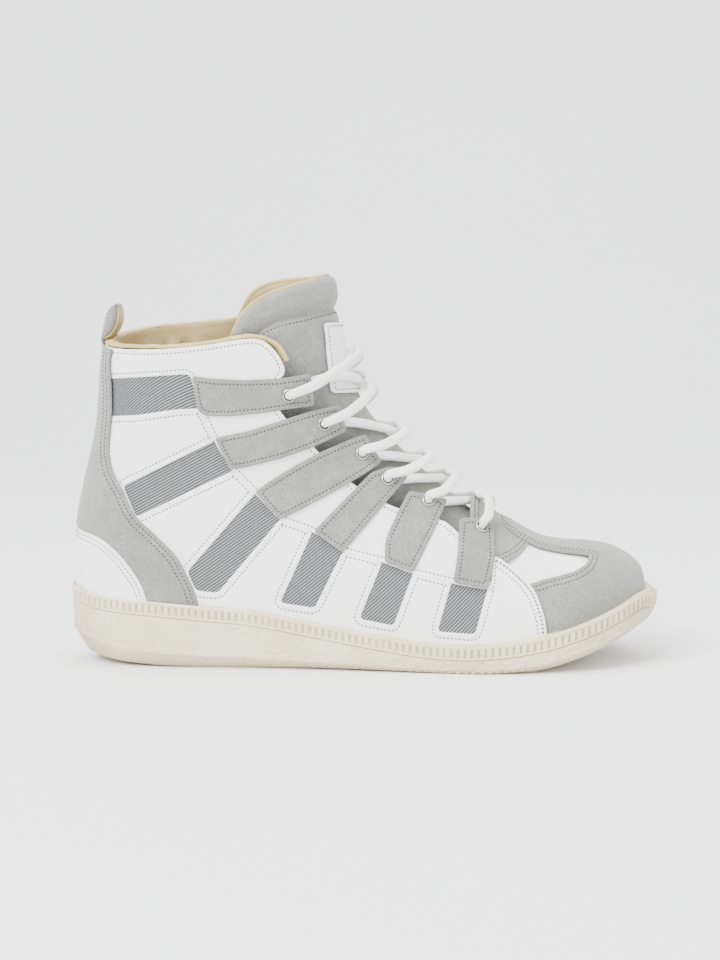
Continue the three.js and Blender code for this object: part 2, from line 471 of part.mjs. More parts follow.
// Outline of the sole in plan, moved inwards, as a closed loop at the heights a function of x gives.
function soleLoop(inset, height) {
  const loop = [];
  for (let i = 0; i < PLAN_STEPS; i++) {
    const a = (2 * Math.PI * i) / PLAN_STEPS, x = -Math.cos(a) * 147.5, side = i <= PLAN_STEPS / 2 ? -1 : 1;
    const f = (v) => table(SOLE_HALF[side], v);
    const kx = (147.5 - inset) / 147.5, y = Math.max(f(x) - inset * Math.min(1, f(x) / 20), 0);
    loop.push(new THREE.Vector3(x * kx * KX, side * y * KY, height(x * kx) * KZ));
  }
  return loop;
}
const topAt = (x) => table(SOLE_TOP, x), edgeAt = (x) => table(SOLE_EDGE, x);
const flatAt = (x) => Math.max(0, x > 62 ? edgeAt(x) - 2.4 : (edgeAt(x) - 5) * 0.6);
const recess = FOXING + GAP;
const outsole = loft([
  soleLoop(7, flatAt), soleLoop(1.4, edgeAt),
  soleLoop(0.4, (x) => edgeAt(x) + 3), soleLoop(0.6, (x) => topAt(x) - FOXING_HEIGHT - GAP - 0.2),
  soleLoop(recess, (x) => topAt(x) - FOXING_HEIGHT - GAP), soleLoop(recess, topAt),
  soleLoop(SOLE_WALL, topAt), soleLoop(SOLE_WALL, (x) => topAt(x) - 6),
], true);
add("outsole", "cream", outsole);
add("foxing_strip", "cream", loft([
  soleLoop(0.2, (x) => topAt(x) - FOXING_HEIGHT), soleLoop(0, (x) => topAt(x) - FOXING_HEIGHT + 0.6),
  soleLoop(0, (x) => topAt(x) - 0.6), soleLoop(0.2, topAt),
], true).subtract(loft([soleLoop(FOXING, (x) => topAt(x) - 12), soleLoop(FOXING, (x) => topAt(x) + 5)], true)));
add("sole_filler", "foam", loft([soleLoop(SOLE_WALL + GAP, (x) => topAt(x) - 6 + GAP),
  soleLoop(SOLE_WALL + GAP, topAt)], true));
const insideAt = D_LINING - LINING - GAP;
add("insole_board", "board", body(insideAt).intersect(underRim(GAP + 2)).subtract(onRim));
add("footbed", "lining", body(insideAt - 0.2).intersect(underRim(7)).subtract(underRim(2 * GAP + 2)));

// ---- heel pull tab: a folded suede loop standing on the collar ----
const TAB_BASE = [-127.6, 162.6];
function tabPly(inset) {
  const [x0, z0] = TAB_BASE, h = TAB_HEIGHT, points = [];
  const outer = [[-1.3, 0], [-0.9, 3], [0.2, 8], [1.8, 12], [4.2, 14.6], [5.6, 16.8], [7.4, h], [9, h - 0.6], [8.9, 12.4],
    [7.8, 9.4], [5.2, 6.8], [2.2, 4.4], [1.1, 0]];
  const inner = [[0.3, 4], [1.4, 8], [2.9, 11.2], [5.2, 13.6], [6.6, 15.8], [7.6, 15.6], [7.6, 12.4], [6.6, 10.2], [4.2, 8.2],
    [1.5, 5.8]];
  (inset ? inner : outer).forEach(([x, z]) => points.push([x0 + x, z0 + z]));
  return points;
}
add("heel_pull_tab", "suede", prism(tabPly(false), -TAB_WIDTH / 2, TAB_WIDTH / 2)
  .subtract(prism(tabPly(true), -TAB_WIDTH, TAB_WIDTH)));

// The origin is the middle of the shoe's box, on the floor.
const box = new THREE.Box3().setFromObject(shoe);
shoe.position.set(-(box.min.x + box.max.x) / 2, -(box.min.y + box.max.y) / 2, -box.min.z);

export default shoe;
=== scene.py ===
"""Basketball high top: detailed leather, suede, textile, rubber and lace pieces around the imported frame."""
import math

import bpy
import numpy as np
from mathutils import Matrix, Vector


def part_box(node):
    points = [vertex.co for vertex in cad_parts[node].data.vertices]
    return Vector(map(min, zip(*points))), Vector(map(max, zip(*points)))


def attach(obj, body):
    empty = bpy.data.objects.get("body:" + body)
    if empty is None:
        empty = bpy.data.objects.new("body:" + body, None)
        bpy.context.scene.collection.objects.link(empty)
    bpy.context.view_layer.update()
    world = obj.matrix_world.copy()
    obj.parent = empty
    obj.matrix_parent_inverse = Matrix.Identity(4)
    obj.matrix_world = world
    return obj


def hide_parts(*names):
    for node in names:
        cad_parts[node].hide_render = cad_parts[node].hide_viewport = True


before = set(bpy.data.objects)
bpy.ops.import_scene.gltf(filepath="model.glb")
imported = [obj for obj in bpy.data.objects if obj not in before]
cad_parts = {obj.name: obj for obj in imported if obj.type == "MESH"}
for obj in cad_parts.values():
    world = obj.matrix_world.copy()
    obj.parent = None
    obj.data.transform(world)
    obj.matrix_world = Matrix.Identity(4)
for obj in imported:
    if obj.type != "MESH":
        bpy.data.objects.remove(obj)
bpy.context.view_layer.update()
FINE = 1.0  # grid spacing factor

# ---------------------------------------------------------------- sizes, in millimetres
tab_low, tab_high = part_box("heel_pull_tab")
SHIFT = np.array([0.0, (tab_low[1] + tab_high[1]) * 500, 0.0])
GAP, SUEDE, LEATHER, BASE, FOAM, LINING = 0.3, 1.2, 1.2, 1.2, 1.6, 1.0
D_SUEDE = GAP + SUEDE
D_BASE = -LEATHER - GAP
D_FOAM = D_BASE - BASE - GAP
D_LINING = D_FOAM - FOAM - GAP
D_TONGUE = D_LINING - LINING - GAP
TONGUE_EASE = 0.93

STATIONS = np.array([
    [140.6, 36, 140.6, -4, 26, 2.2], [139.4, 42.5, 139.4, -4, 28, 2.2], [136.5, 47, 136.5, -4, 30, 2.2],
    [131, 51.3, 131, -4, 33, 2.2], [123, 54.8, 123, -4, 35, 2.2], [112, 56.6, 112, -4, 37, 2.2],
    [100, 57.6, 100, -4, 40, 2.1], [89, 60.2, 89, -4, 45, 1.95], [79, 65.5, 78, -4, 51, 1.8],
    [69.5, 72, 66, -4, 58, 1.7], [59, 79.8, 52, -4, 64, 1.7], [47, 89.5, 36, -4, 70, 1.7],
    [34.5, 100.5, 16, -4, 74, 1.7], [23, 112, -8, -4, 74, 1.75], [13.5, 123, -34, -4, 72, 1.8],
    [7, 133.5, -60, -4, 68, 1.85], [2.5, 143, -84, -4, 64, 1.9], [0, 151, -106, -4, 60, 1.95],
    [-1.5, 158, -124, -4, 56, 2], [-2.5, 164, -136, -4, 54, 2], [-3, 169, -142.5, 4, 52, 2],
    [-3.5, 173.5, -143.6, 24, 50, 2], [-4, 178, -144.3, 46, 50, 2], [-4, 182.5, -143.2, 68, 50, 2],
    [-4.5, 187.5, -138.5, 91, 50, 2], [-5, 193, -132.5, 114, 50, 2], [-5, 199, -129.6, 137, 50, 2],
    [-5, 206, -127.5, 160, 50, 2], [-5, 214, -126, 184, 50, 2]], float)
HEEL_LINE = [[-10, -142], [10, -142.6], [27, -143.6], [46, -144.4], [60, -143.9], [75, -142.2], [91, -138.5],
             [105, -134.8], [118, -131.6], [132, -129.9], [146, -128.8], [160, -127], [190, -125.5]]
HALF_WIDTH = {
    -1: [[-146, 32], [-110, 32], [-80, 33], [-50, 35.5], [-20, 38.5], [10, 42], [40, 46], [70, 48.5], [100, 48.5],
         [141, 48]],
    1: [[-146, 31.5], [-110, 31.5], [-80, 31], [-50, 29.5], [-25, 29], [0, 31], [25, 35.5], [50, 41.5], [75, 46],
        [100, 46.5], [141, 46]]}
SHAFT_WIDTH = [[0, 33], [45, 33], [70, 31.5], [95, 30], [120, 31.5], [145, 34], [160, 35.5], [220, 36]]
TOE_TIP, TOE_ROUNDING, HEEL_ROUNDING = 140.9, {-1: 60.0, 1: 40.0}, 38.0
COLLAR_TILT = 9
SOLE_TOP = [[-150, 40.5], [-140, 38.5], [-130, 36.2], [-101, 33.5], [-76, 31.3], [-51, 29], [-23, 24], [2, 19.6],
            [35, 14.8], [56, 14], [73, 15.4], [91, 18.3], [106, 22.3], [120, 27.1], [136, 33.9], [144, 37.5],
            [150, 40]]
SOLE_EDGE = [[-150, 18], [-137, 13.3], [-125, 9.9], [-110, 7.5], [-93, 6], [-52, 4], [2, 1.5], [35, 0.4], [62, 0],
             [80, 1.6], [91, 3.6], [106, 7.6], [120, 12.2], [136, 18.8], [150, 26]]
HALF_LENGTH = 147.5
SOLE_HALF = {
    -1: [[-147.5, 0], [-145, 14], [-138, 22.5], [-125, 30], [-105, 34.4], [-80, 36], [-50, 37.6], [-20, 40.4],
         [10, 44.6], [40, 49], [65, 51.4], [90, 51], [110, 46.6], [125, 38.6], [136, 28.6], [143.6, 17], [147.5, 0]],
    1: [[-147.5, 0], [-145, 14], [-138, 22.5], [-125, 29.6], [-105, 33.4], [-80, 33.4], [-50, 32], [-20, 32],
        [10, 35.6], [40, 43], [65, 49.4], [90, 52.6], [110, 52], [125, 46.6], [136, 36], [143.6, 22], [147.5, 0]]}

# ---------------------------------------------------------------- side-view outlines (x, z)
COLLAR = [[-150, 155], [-127, 155], [-118, 155.6], [-107, 156.4], [-86, 157.2], [-67, 159], [-57, 160.8],
          [-48, 161.6]]
EYESTAY_EDGE = [[-42.7, 160.7], [-39.1, 158], [-34.5, 152.3], [-32, 145], [-37.5, 139], [-37, 128], [-31, 120],
                [-22, 111], [-9, 96], [6, 85], [20, 78.5], [33, 75], [44, 71.5], [50, 66], [56, 60], [64, 55.4]]
SEAM = [[-132, 142.6], [-122, 142.8], [-79, 145], [-77, 136], [-75, 127], [-71, 118], [-66.5, 108], [-60, 97.5],
        [-49, 86], [-37, 73], [-20, 67], [-5, 57.5], [14, 53], [29, 47.5], [47, 43], [66, 39.6]]
QUARTER_FRONT = [[68, 54.6], [70, 53.6], [75, 50.5], [80, 46.5], [85, 41.5], [88, 37], [90, 31], [92, 25], [93, 8]]
HEEL_STAY = [[-119, 170], [-119.5, 158], [-122, 152], [-121, 142], [-121, 126], [-123, 113], [-123, 106], [-121, 97],
             [-115, 89], [-111, 80], [-107, 74], [-100, 68], [-94, 62], [-88, 56], [-84, 48], [-79.5, 39], [-76, 24]]
HEEL_CAP = [[-160, 70], [-144, 68.3], [-129, 65.5], [-121, 60.5], [-115, 55], [-109, 47], [-105, 40], [-100, 20],
            [-160, 20]]
STRAPS = [
    [[-78, 144], [-68, 142.4], [-52, 141.6], [-35, 142], [-20, 144], [-18.6, 128.6], [-29, 127.6], [-44, 125.4],
     [-60, 124], [-72, 124.4], [-76, 127.4]],
    [[-68, 113.5], [-52, 116.5], [-35, 121.6], [-20, 126], [-7, 128.4], [-3.6, 116], [-14, 111], [-21, 108],
     [-36, 103], [-53, 99], [-61, 98]],
    [[-49, 87], [-40, 93], [-28, 100], [-16, 106], [-4, 111], [5, 114], [13, 100.4], [3, 94], [-12, 85.6], [-29, 77],
     [-37, 73.4]],
    [[-20, 67.4], [-18, 70], [-4, 84], [8, 95.6], [17, 98.4], [26, 93.4], [10, 76], [-6, 57.8]],
    [[14.6, 53.6], [15, 64], [21, 77], [26.4, 86.6], [45, 82], [38, 67], [28.4, 48.4]],
    [[48, 43.6], [50, 57], [51, 73], [67, 72], [68, 55], [64.6, 40.4]]]
EYELETS = [[-31, 134], [-15, 119.5], [3, 104.4], [15.6, 91.6], [35, 80.6], [60.4, 67]]
WINDOWS = [
    [[-127, 144.6], [-78, 147.4], [-75, 128], [-87, 127.6], [-107, 125], [-127, 124]],
    [[-115, 90], [-65, 113.4], [-59, 97.6], [-108, 75]],
    [[-48, 87], [-35.4, 75], [-68, 37.6], [-79, 38.6], [-83, 48]],
    [[-20, 69.4], [-4.8, 60], [-20, 30.6], [-37, 33]],
    [[14.4, 55.4], [29, 49.4], [18.6, 22.6], [2, 25.6]],
    [[47.6, 45.4], [64.8, 42], [58, 19], [40, 20.2]]]


# ---------------------------------------------------------------- the foot shape
def table(rows, key):
    rows = np.asarray(rows, float)
    xs, ys, last = rows[:, 0], rows[:, 1], len(rows) - 1
    key = np.clip(key, xs[0], xs[-1])
    k = np.clip(np.searchsorted(xs, key, side="left") - 1, 0, last - 1)
    a, b, c, e = np.maximum(k - 1, 0), k, k + 1, np.minimum(k + 2, last)
    h = xs[c] - xs[b]
    t = (key - xs[b]) / h
    m1 = (ys[c] - ys[a]) / (xs[c] - xs[a]) * h
    m2 = (ys[e] - ys[b]) / (xs[e] - xs[b]) * h
    return ((2 * t**3 - 3 * t * t + 1) * ys[b] + (t**3 - 2 * t * t + t) * m1 + (3 * t * t - 2 * t**3) * ys[c]
            + (t**3 - t * t) * m2)


def ease(v, a, b):
    t = np.clip((v - a) / (b - a), 0, 1)
    return t * t * (3 - 2 * t)


def rounding(u, p):
    return (1 - (1 - np.clip(u, 0, 1)) ** p) ** (1 / p)


def station_value(s, c):
    last = len(STATIONS) - 1
    s = np.clip(s, 0, last)
    k = np.minimum(np.floor(s).astype(int), last - 1)
    t = s - k
    col = STATIONS[:, c]
    a, b, e, f = col[np.maximum(k - 1, 0)], col[k], col[k + 1], col[np.minimum(k + 2, last)]
    return 0.5 * (2 * b + (e - a) * t + (2 * a - 5 * b + 4 * e - f) * t * t + (3 * b - a - 3 * e + f) * t**3)


def station(s, d):
    def normal(cx, cz, sign):
        dx = station_value(s + 0.3, cx) - station_value(s - 0.3, cx)
        dz = station_value(s + 0.3, cz) - station_value(s - 0.3, cz)
        ln = np.hypot(dx, dz) + 1e-9
        return sign * dz / ln, -sign * dx / ln
    fnx, fnz = normal(0, 1, 1)
    bnx, bnz = normal(2, 3, -1)
    bnx = bnx + ease(station_value(s, 2), 95, 135)
    return (station_value(s, 0) + d * fnx, station_value(s, 1) + d * fnz, station_value(s, 2) + d * bnx,
            station_value(s, 3) + d * bnz, station_value(s, 4), station_value(s, 5))


def skin(s, v, d):
    """Points on the shape: v is 0 on the front line, -1 at the back or bottom laterally, and 1 medially."""
    s, v, d = np.broadcast_arrays(np.asarray(s, float), np.asarray(v, float), np.asarray(d, float))
    t = (1 - np.cos(np.pi * np.clip(np.abs(v), 0, 1))) / 2
    fx, fz, bx, bz, depth, square = station(s, d)
    x, z = fx + (bx - fx) * t, fz + (bz - fz) * t
    deep = t * np.hypot(bx - fx, bz - fz)
    out = np.zeros(s.shape + (3,))
    for side in (-1, 1):
        low, high = table(HALF_WIDTH[side], x), table(SHAFT_WIDTH, z)
        w = low + (high - low) * ease(z, 35, 80) * ease(-x, -45, 20)
        half = ((w + d) * rounding(deep / depth, square)
                * rounding((x - (table(HEEL_LINE, z) - d)) / HEEL_ROUNDING, 2)
                * rounding((TOE_TIP + d - x) / TOE_ROUNDING[side], 2.2))
        y = 4 * ease(x, 40, 140) + side * half
        out[..., 1] = np.where((v < 0) == (side < 0), y, out[..., 1])
    out[..., 0], out[..., 2] = x, z
    return out


def skin_back(s, v, d):
    """The same shape with v from 0, the front line, down to -1, the back, and on to -2, the front line again."""
    v = np.asarray(v, float)
    return skin(s, np.where(v < -1, 2 + v, v), d)


def normals(shape, s, v, d, wide=1.0):
    """Outward unit normals."""
    v = np.asarray(v, float)
    if shape is skin:
        v = np.clip(v, -0.985, 0.985)
    a = shape(s + 0.03, v, d) - shape(s - 0.03, v, d)
    b = shape(s, v + 0.008, d) - shape(s, v - 0.008, d)
    a[..., 1] *= wide
    b[..., 1] *= wide
    n = unit(np.cross(a, b), 1e-12)
    p = shape(s, v, d)
    core = np.stack([np.clip(p[..., 0] * 0.7 - 8, -90, 110), 4 * ease(p[..., 0], 40, 140),
                     np.clip(p[..., 2] * 0.85, 25, 400)], -1)
    return n if np.mean(np.sum(n * (p - core), -1)) > 0 else -n


def locate(x, z, d=0.0):
    """Station and v (negative) of side-view points on the lateral side."""
    x, z = np.asarray(x, float), np.asarray(z, float)
    a, b = np.zeros_like(x), np.full_like(x, len(STATIONS) - 1.0)
    for _ in range(30):
        m = (a + b) / 2
        fx, fz, bx, bz, _, _ = station(m, d)
        beyond = (bx - fx) * (z - fz) - (bz - fz) * (x - fx) < 0
        a, b = np.where(beyond, m, a), np.where(beyond, b, m)
    s = (a + b) / 2
    fx, fz, bx, bz, _, _ = station(s, d)
    ux, uz = bx - fx, bz - fz
    t = np.clip(((x - fx) * ux + (z - fz) * uz) / (ux * ux + uz * uz), 0, 1)
    return s, -np.arccos(1 - 2 * t) / np.pi


def collar_rise(y):
    """How much higher the collar is than on the lateral side: it slopes by COLLAR_TILT degrees across the shoe."""
    return (y + 33) * math.tan(math.radians(COLLAR_TILT))


# ---------------------------------------------------------------- curves and distances
def rounded(points, radius=3.0, closed=True, steps=6):
    """A polygon with its corners rounded."""
    p, out = np.asarray(points, float), []
    n = len(p)
    for i in range(n):
        if not closed and i in (0, n - 1):
            out.append(p[i][None])
            continue
        a, b = p[i - 1] - p[i], p[(i + 1) % n] - p[i]
        la, lb = np.linalg.norm(a), np.linalg.norm(b)
        a, b = p[i] + a * min(radius / la, 0.5), p[i] + b * min(radius / lb, 0.5)
        t = np.linspace(0, 1, steps)[:, None]
        out.append((1 - t) ** 2 * a + 2 * t * (1 - t) * p[i] + t * t * b)
    return np.vstack(out)


def distance(px, pz, outline, closed=True):
    """Distance to an outline, negative inside a closed one."""
    outline = np.asarray(outline, float)
    ends = np.roll(outline, -1, 0) if closed else outline[1:]
    best, inner = np.full(px.shape, 1e9), np.zeros(px.shape, bool)
    for (ax, az), (bx, bz) in zip(outline, ends):
        dx, dz = bx - ax, bz - az
        t = np.clip(((px - ax) * dx + (pz - az) * dz) / (dx * dx + dz * dz + 1e-12), 0, 1)
        best = np.minimum(best, (px - ax - t * dx) ** 2 + (pz - az - t * dz) ** 2)
        if closed and az != bz:
            inner ^= ((az > pz) != (bz > pz)) & (px < (bx - ax) * (pz - az) / (bz - az) + ax)
    return np.where(inner, -np.sqrt(best), np.sqrt(best))


def run_of(points):
    """Length along a line up to each of its points."""
    return np.r_[0, np.cumsum(np.linalg.norm(np.diff(points, axis=0), axis=1))]


def unit(vectors, tiny=0.0):
    return vectors / (np.linalg.norm(vectors, axis=-1, keepdims=True) + tiny)


def resample(points, step):
    p = np.asarray(points, float)
    d = run_of(p[:, :3])
    at = np.linspace(0, d[-1], max(int(round(d[-1] / step)), 1) + 1)
    return np.stack([np.interp(at, d, p[:, k]) for k in range(p.shape[1])], 1)


def noise3(P, scale, seed=0, octaves=3):
    """Smooth noise from -1 to 1 at points in millimetres."""
    out, amp = np.zeros(P.shape[:-1]), 1.0
    for o in range(octaves):
        q = P / scale * 2**o + 17.3 * seed + 5.1 * o
        i = np.floor(q).astype(np.int64)
        f = q - i
        f = f * f * (3 - 2 * f)
        corner = {}
        for k in range(8):
            h = ((i[..., 0] + (k & 1)) * 73856093 ^ (i[..., 1] + (k >> 1 & 1)) * 19349663
                 ^ (i[..., 2] + (k >> 2)) * 83492791)
            h = (h ^ (h >> 13)) * 1274126177
            corner[k] = ((h ^ (h >> 16)) & 0xFFFF) / 32767.5 - 1
        x = [corner[k] * (1 - f[..., 0]) + corner[k + 1] * f[..., 0] for k in (0, 2, 4, 6)]
        y = [x[k] * (1 - f[..., 1]) + x[k + 1] * f[..., 1] for k in (0, 2)]
        out += amp * (y[0] * (1 - f[..., 2]) + y[1] * f[..., 2])
        amp *= 0.5
    return out


# ---------------------------------------------------------------- regions: functions of points, negative inside
def outline(points, radius=3.0, plane="xz"):
    smooth = rounded(points, radius)
    k = {"xz": (0, 2), "xy": (0, 1), "yz": (1, 2)}[plane]
    return lambda P: distance(P[..., k[0]], P[..., k[1]], smooth)


def both(*parts):
    return lambda P: np.max([r(P) for r in parts], axis=0)


def either(*parts):
    return lambda P: np.min([r(P) for r in parts], axis=0)


def outside(part):
    return lambda P: -part(P)


def sole_top(x):
    """Height of the sole's top edge, which rounds off at the toe."""
    return table(SOLE_TOP, x) - 5.0 * ease(x, 138, HALF_LENGTH)


def above_rim(lift):
    return lambda P: sole_top(P[..., 0]) + lift - P[..., 2]


COLLAR_LINE = rounded(COLLAR + EYESTAY_EDGE[:3], 6, closed=False)


def below_collar(lift=0.0):
    def region(P):
        top = np.interp(P[..., 0], COLLAR_LINE[:, 0], COLLAR_LINE[:, 1])
        return P[..., 2] - top - collar_rise(P[..., 1]) * ease(-P[..., 0], 30, 43) - lift
    return region


# ---------------------------------------------------------------- meshes
def make(name, verts, faces, material, body="shoe", attributes=None, sharp=42, replaces=()):
    """A mesh piece from millimetre vertices that rides on a body."""
    mesh = bpy.data.meshes.new(name)
    verts = (np.asarray(verts, float) + SHIFT) / 1000
    mesh.from_pydata(verts.tolist(), [], faces if isinstance(faces, list) else faces.tolist())
    for key, values in (attributes or {}).items():
        mesh.attributes.new(key, "FLOAT", "POINT").data.foreach_set("value", np.asarray(values, np.float32))
    mesh.polygons.foreach_set("use_smooth", np.ones(len(mesh.polygons), bool))
    mesh.materials.append(material)
    mesh.update()
    mesh.set_sharp_from_angle(angle=math.radians(sharp))
    obj = bpy.data.objects.new(name, mesh)
    bpy.context.scene.collection.objects.link(obj)
    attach(obj, body)
    if replaces:
        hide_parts(*replaces)
    return obj


STEP_LENGTH = np.r_[0, np.cumsum(np.maximum(np.hypot(*np.diff(STATIONS[:, :2], axis=0).T),
                                            np.hypot(*np.diff(STATIONS[:, 2:4], axis=0).T) * 0.7))]


def grid(region, shape, d, wide, spacing, v_limits):
    """Station and v of an even grid that covers a region."""
    S, V = np.meshgrid(np.linspace(0, 28, 113), np.linspace(*v_limits, 121), indexing="ij")
    P = shape(S, V, d)
    P[..., 1] *= wide
    near = region(P) < 4
    if not near.any():
        raise RuntimeError("an empty region")
    rows, cols = np.where(near.any(1))[0], np.where(near.any(0))[0]
    s0, s1 = S[max(rows[0] - 1, 0), 0], S[min(rows[-1] + 1, 112), 0]
    v0, v1 = V[0, max(cols[0] - 1, 0)], V[0, min(cols[-1] + 1, 120)]
    ends = np.interp([s0, s1], np.arange(29), STEP_LENGTH)
    s = np.interp(np.linspace(*ends, int((ends[1] - ends[0]) / spacing) + 3), STEP_LENGTH, np.arange(29))
    across = np.linalg.norm(np.diff(P, axis=1), axis=2)[near[:, :-1]].max() * 120 / (v_limits[1] - v_limits[0])
    v = np.linspace(v0, v1, int((v1 - v0) * across * 0.8 / spacing) + 3)
    return np.meshgrid(s, v, indexing="ij")


def quads_of(r, c):
    """Corner indices of the cells of a grid."""
    k = np.arange(r * c).reshape(r, c)
    return np.stack([k[:-1, :-1].ravel(), k[1:, :-1].ravel(), k[1:, 1:].ravel(), k[:-1, 1:].ravel()], 1)


def facing(faces, verts, quad, direction):
    """The faces, turned over if the given one looks against a direction."""
    a, b, c = (verts[i] for i in quad[:3])
    return [f[::-1] for f in faces] if np.dot(np.cross(b - a, c - a), direction) < 0 else faces


def clipped(S, V, phi):
    """The part of a grid where phi is negative, cut along phi = 0."""
    r, c = S.shape
    s, v, f = S.ravel(), V.ravel(), phi.ravel().copy()
    f[np.abs(f) < 0.1] = 0.0
    quads = quads_of(r, c)
    inner = f <= 0
    full = inner[quads].all(1) & (f[quads] < 0).any(1)
    some = (f[quads] < 0).any(1) & ~inner[quads].all(1)
    faces, cuts, order = quads[full].tolist(), {}, []
    for q in quads[some].tolist():
        for tri in ((q[0], q[1], q[2]), (q[0], q[2], q[3])):
            corners = []
            for i, j in ((tri[0], tri[1]), (tri[1], tri[2]), (tri[2], tri[0])):
                if f[i] <= 0:
                    corners.append(i)
                if f[i] * f[j] < 0:
                    key = (min(i, j), max(i, j))
                    if key not in cuts:
                        cuts[key] = r * c + len(order)
                        order.append(key)
                    corners.append(cuts[key])
            if len(corners) >= 3 and not all(p < r * c and f[p] == 0 for p in corners):
                faces.append(corners)
    if order:
        a, b = np.array(order).T
        t = f[a] / (f[a] - f[b])
        s, v = np.r_[s, s[a] * (1 - t) + s[b] * t], np.r_[v, v[a] * (1 - t) + v[b] * t]
        f = np.r_[f, np.zeros(len(a))]
    used = np.unique(np.concatenate([np.array(q) for q in faces]))
    place = np.full(len(s), -1)
    place[used] = np.arange(len(used))
    return s[used], v[used], f[used], [[int(place[i]) for i in q] for q in faces]


def lines_at(S, V, phi, level):
    """Lines of a grid where phi has a value, as lists of (s, v)."""
    r, c = S.shape
    s, v, f = S.ravel(), V.ravel(), phi.ravel() - level
    f = np.where(f == 0, 1e-9, f)
    quads = quads_of(r, c)
    some = (f[quads] < 0).any(1) & (f[quads] > 0).any(1)
    links = {}
    for q in quads[some].tolist():
        for tri in ((q[0], q[1], q[2]), (q[0], q[2], q[3])):
            keys = [(min(i, j), max(i, j)) for i, j in ((tri[0], tri[1]), (tri[1], tri[2]), (tri[2], tri[0]))
                    if f[i] * f[j] < 0]
            if len(keys) == 2:
                links.setdefault(keys[0], []).append(keys[1])
                links.setdefault(keys[1], []).append(keys[0])
    out, seen = [], set()
    for start in sorted(links, key=lambda key: len(links[key])):
        if start in seen:
            continue
        line, at = [start], start
        seen.add(start)
        while True:
            ahead = [n for n in links[at] if n not in seen]
            if not ahead:
                break
            at = ahead[0]
            seen.add(at)
            line.append(at)
        if len(links[start]) == 2 and len(line) > 6 and start in links[at]:
            line.append(start)
        a, b = np.array(line).T
        t = f[a] / (f[a] - f[b])
        out.append(np.stack([s[a] * (1 - t) + s[b] * t, v[a] * (1 - t) + v[b] * t], 1))
    return [line for line in out if len(line) > 4]


threads = {}
SEAM_DEPTH, SEAM_WIDTH, THINNEST = 0.2, 0.5, 0.4


def sew(points, outs, thread, pitch=1.9, body="shoe"):
    """A row of stitches along points, each standing out along outs."""
    row = np.hstack([points, outs])
    d = run_of(points)
    count = int(d[-1] / pitch)
    if count < 1:
        return
    mid = (np.arange(count) + 0.5) * d[-1] / count
    a, m, b = (np.stack([np.interp(q, d, row[:, k]) for k in range(6)], 1)
               for q in (mid - pitch * 0.33, mid, mid + pitch * 0.33))
    threads.setdefault((thread, body), []).append((a[:, :3], m[:, :3], b[:, :3], m[:, 3:]))


def make_threads():
    """All stitches of one thread and body as one piece: small bowed capsules that dip at both ends."""
    ring = np.linspace(0, 2 * np.pi, 6, endpoint=False)
    for (thread, body), rows in threads.items():
        a, m, b, n = (np.vstack([r[k] for r in rows]) for k in range(4))
        n, t = unit(n), unit(b - a, 1e-9)
        w = np.cross(t, n)
        rings = []
        for at, lift, r in ((a, -0.26, 0.12), (a * 0.7 + m * 0.3, 0.03, 0.27), (m, 0.12, 0.33),
                            (b * 0.7 + m * 0.3, 0.03, 0.27), (b, -0.26, 0.12)):
            at = at + n * lift
            rings.append(at[:, None] + w[:, None] * (np.cos(ring)[:, None] * r * 1.1)
                         + n[:, None] * (np.sin(ring)[:, None] * r * 0.9))
        one = [[i * 6 + j, i * 6 + (j + 1) % 6, i * 6 + 6 + (j + 1) % 6, i * 6 + 6 + j]
               for i in range(4) for j in range(6)]
        one += [[5, 4, 3, 2, 1, 0], [24, 25, 26, 27, 28, 29]]
        faces = [[x + 30 * i for x in f] for i in range(len(a)) for f in one]
        make("stitching_" + thread + "_" + body, np.concatenate(rings, 1).reshape(-1, 3), faces, THREADS[thread],
             body=body, sharp=180)


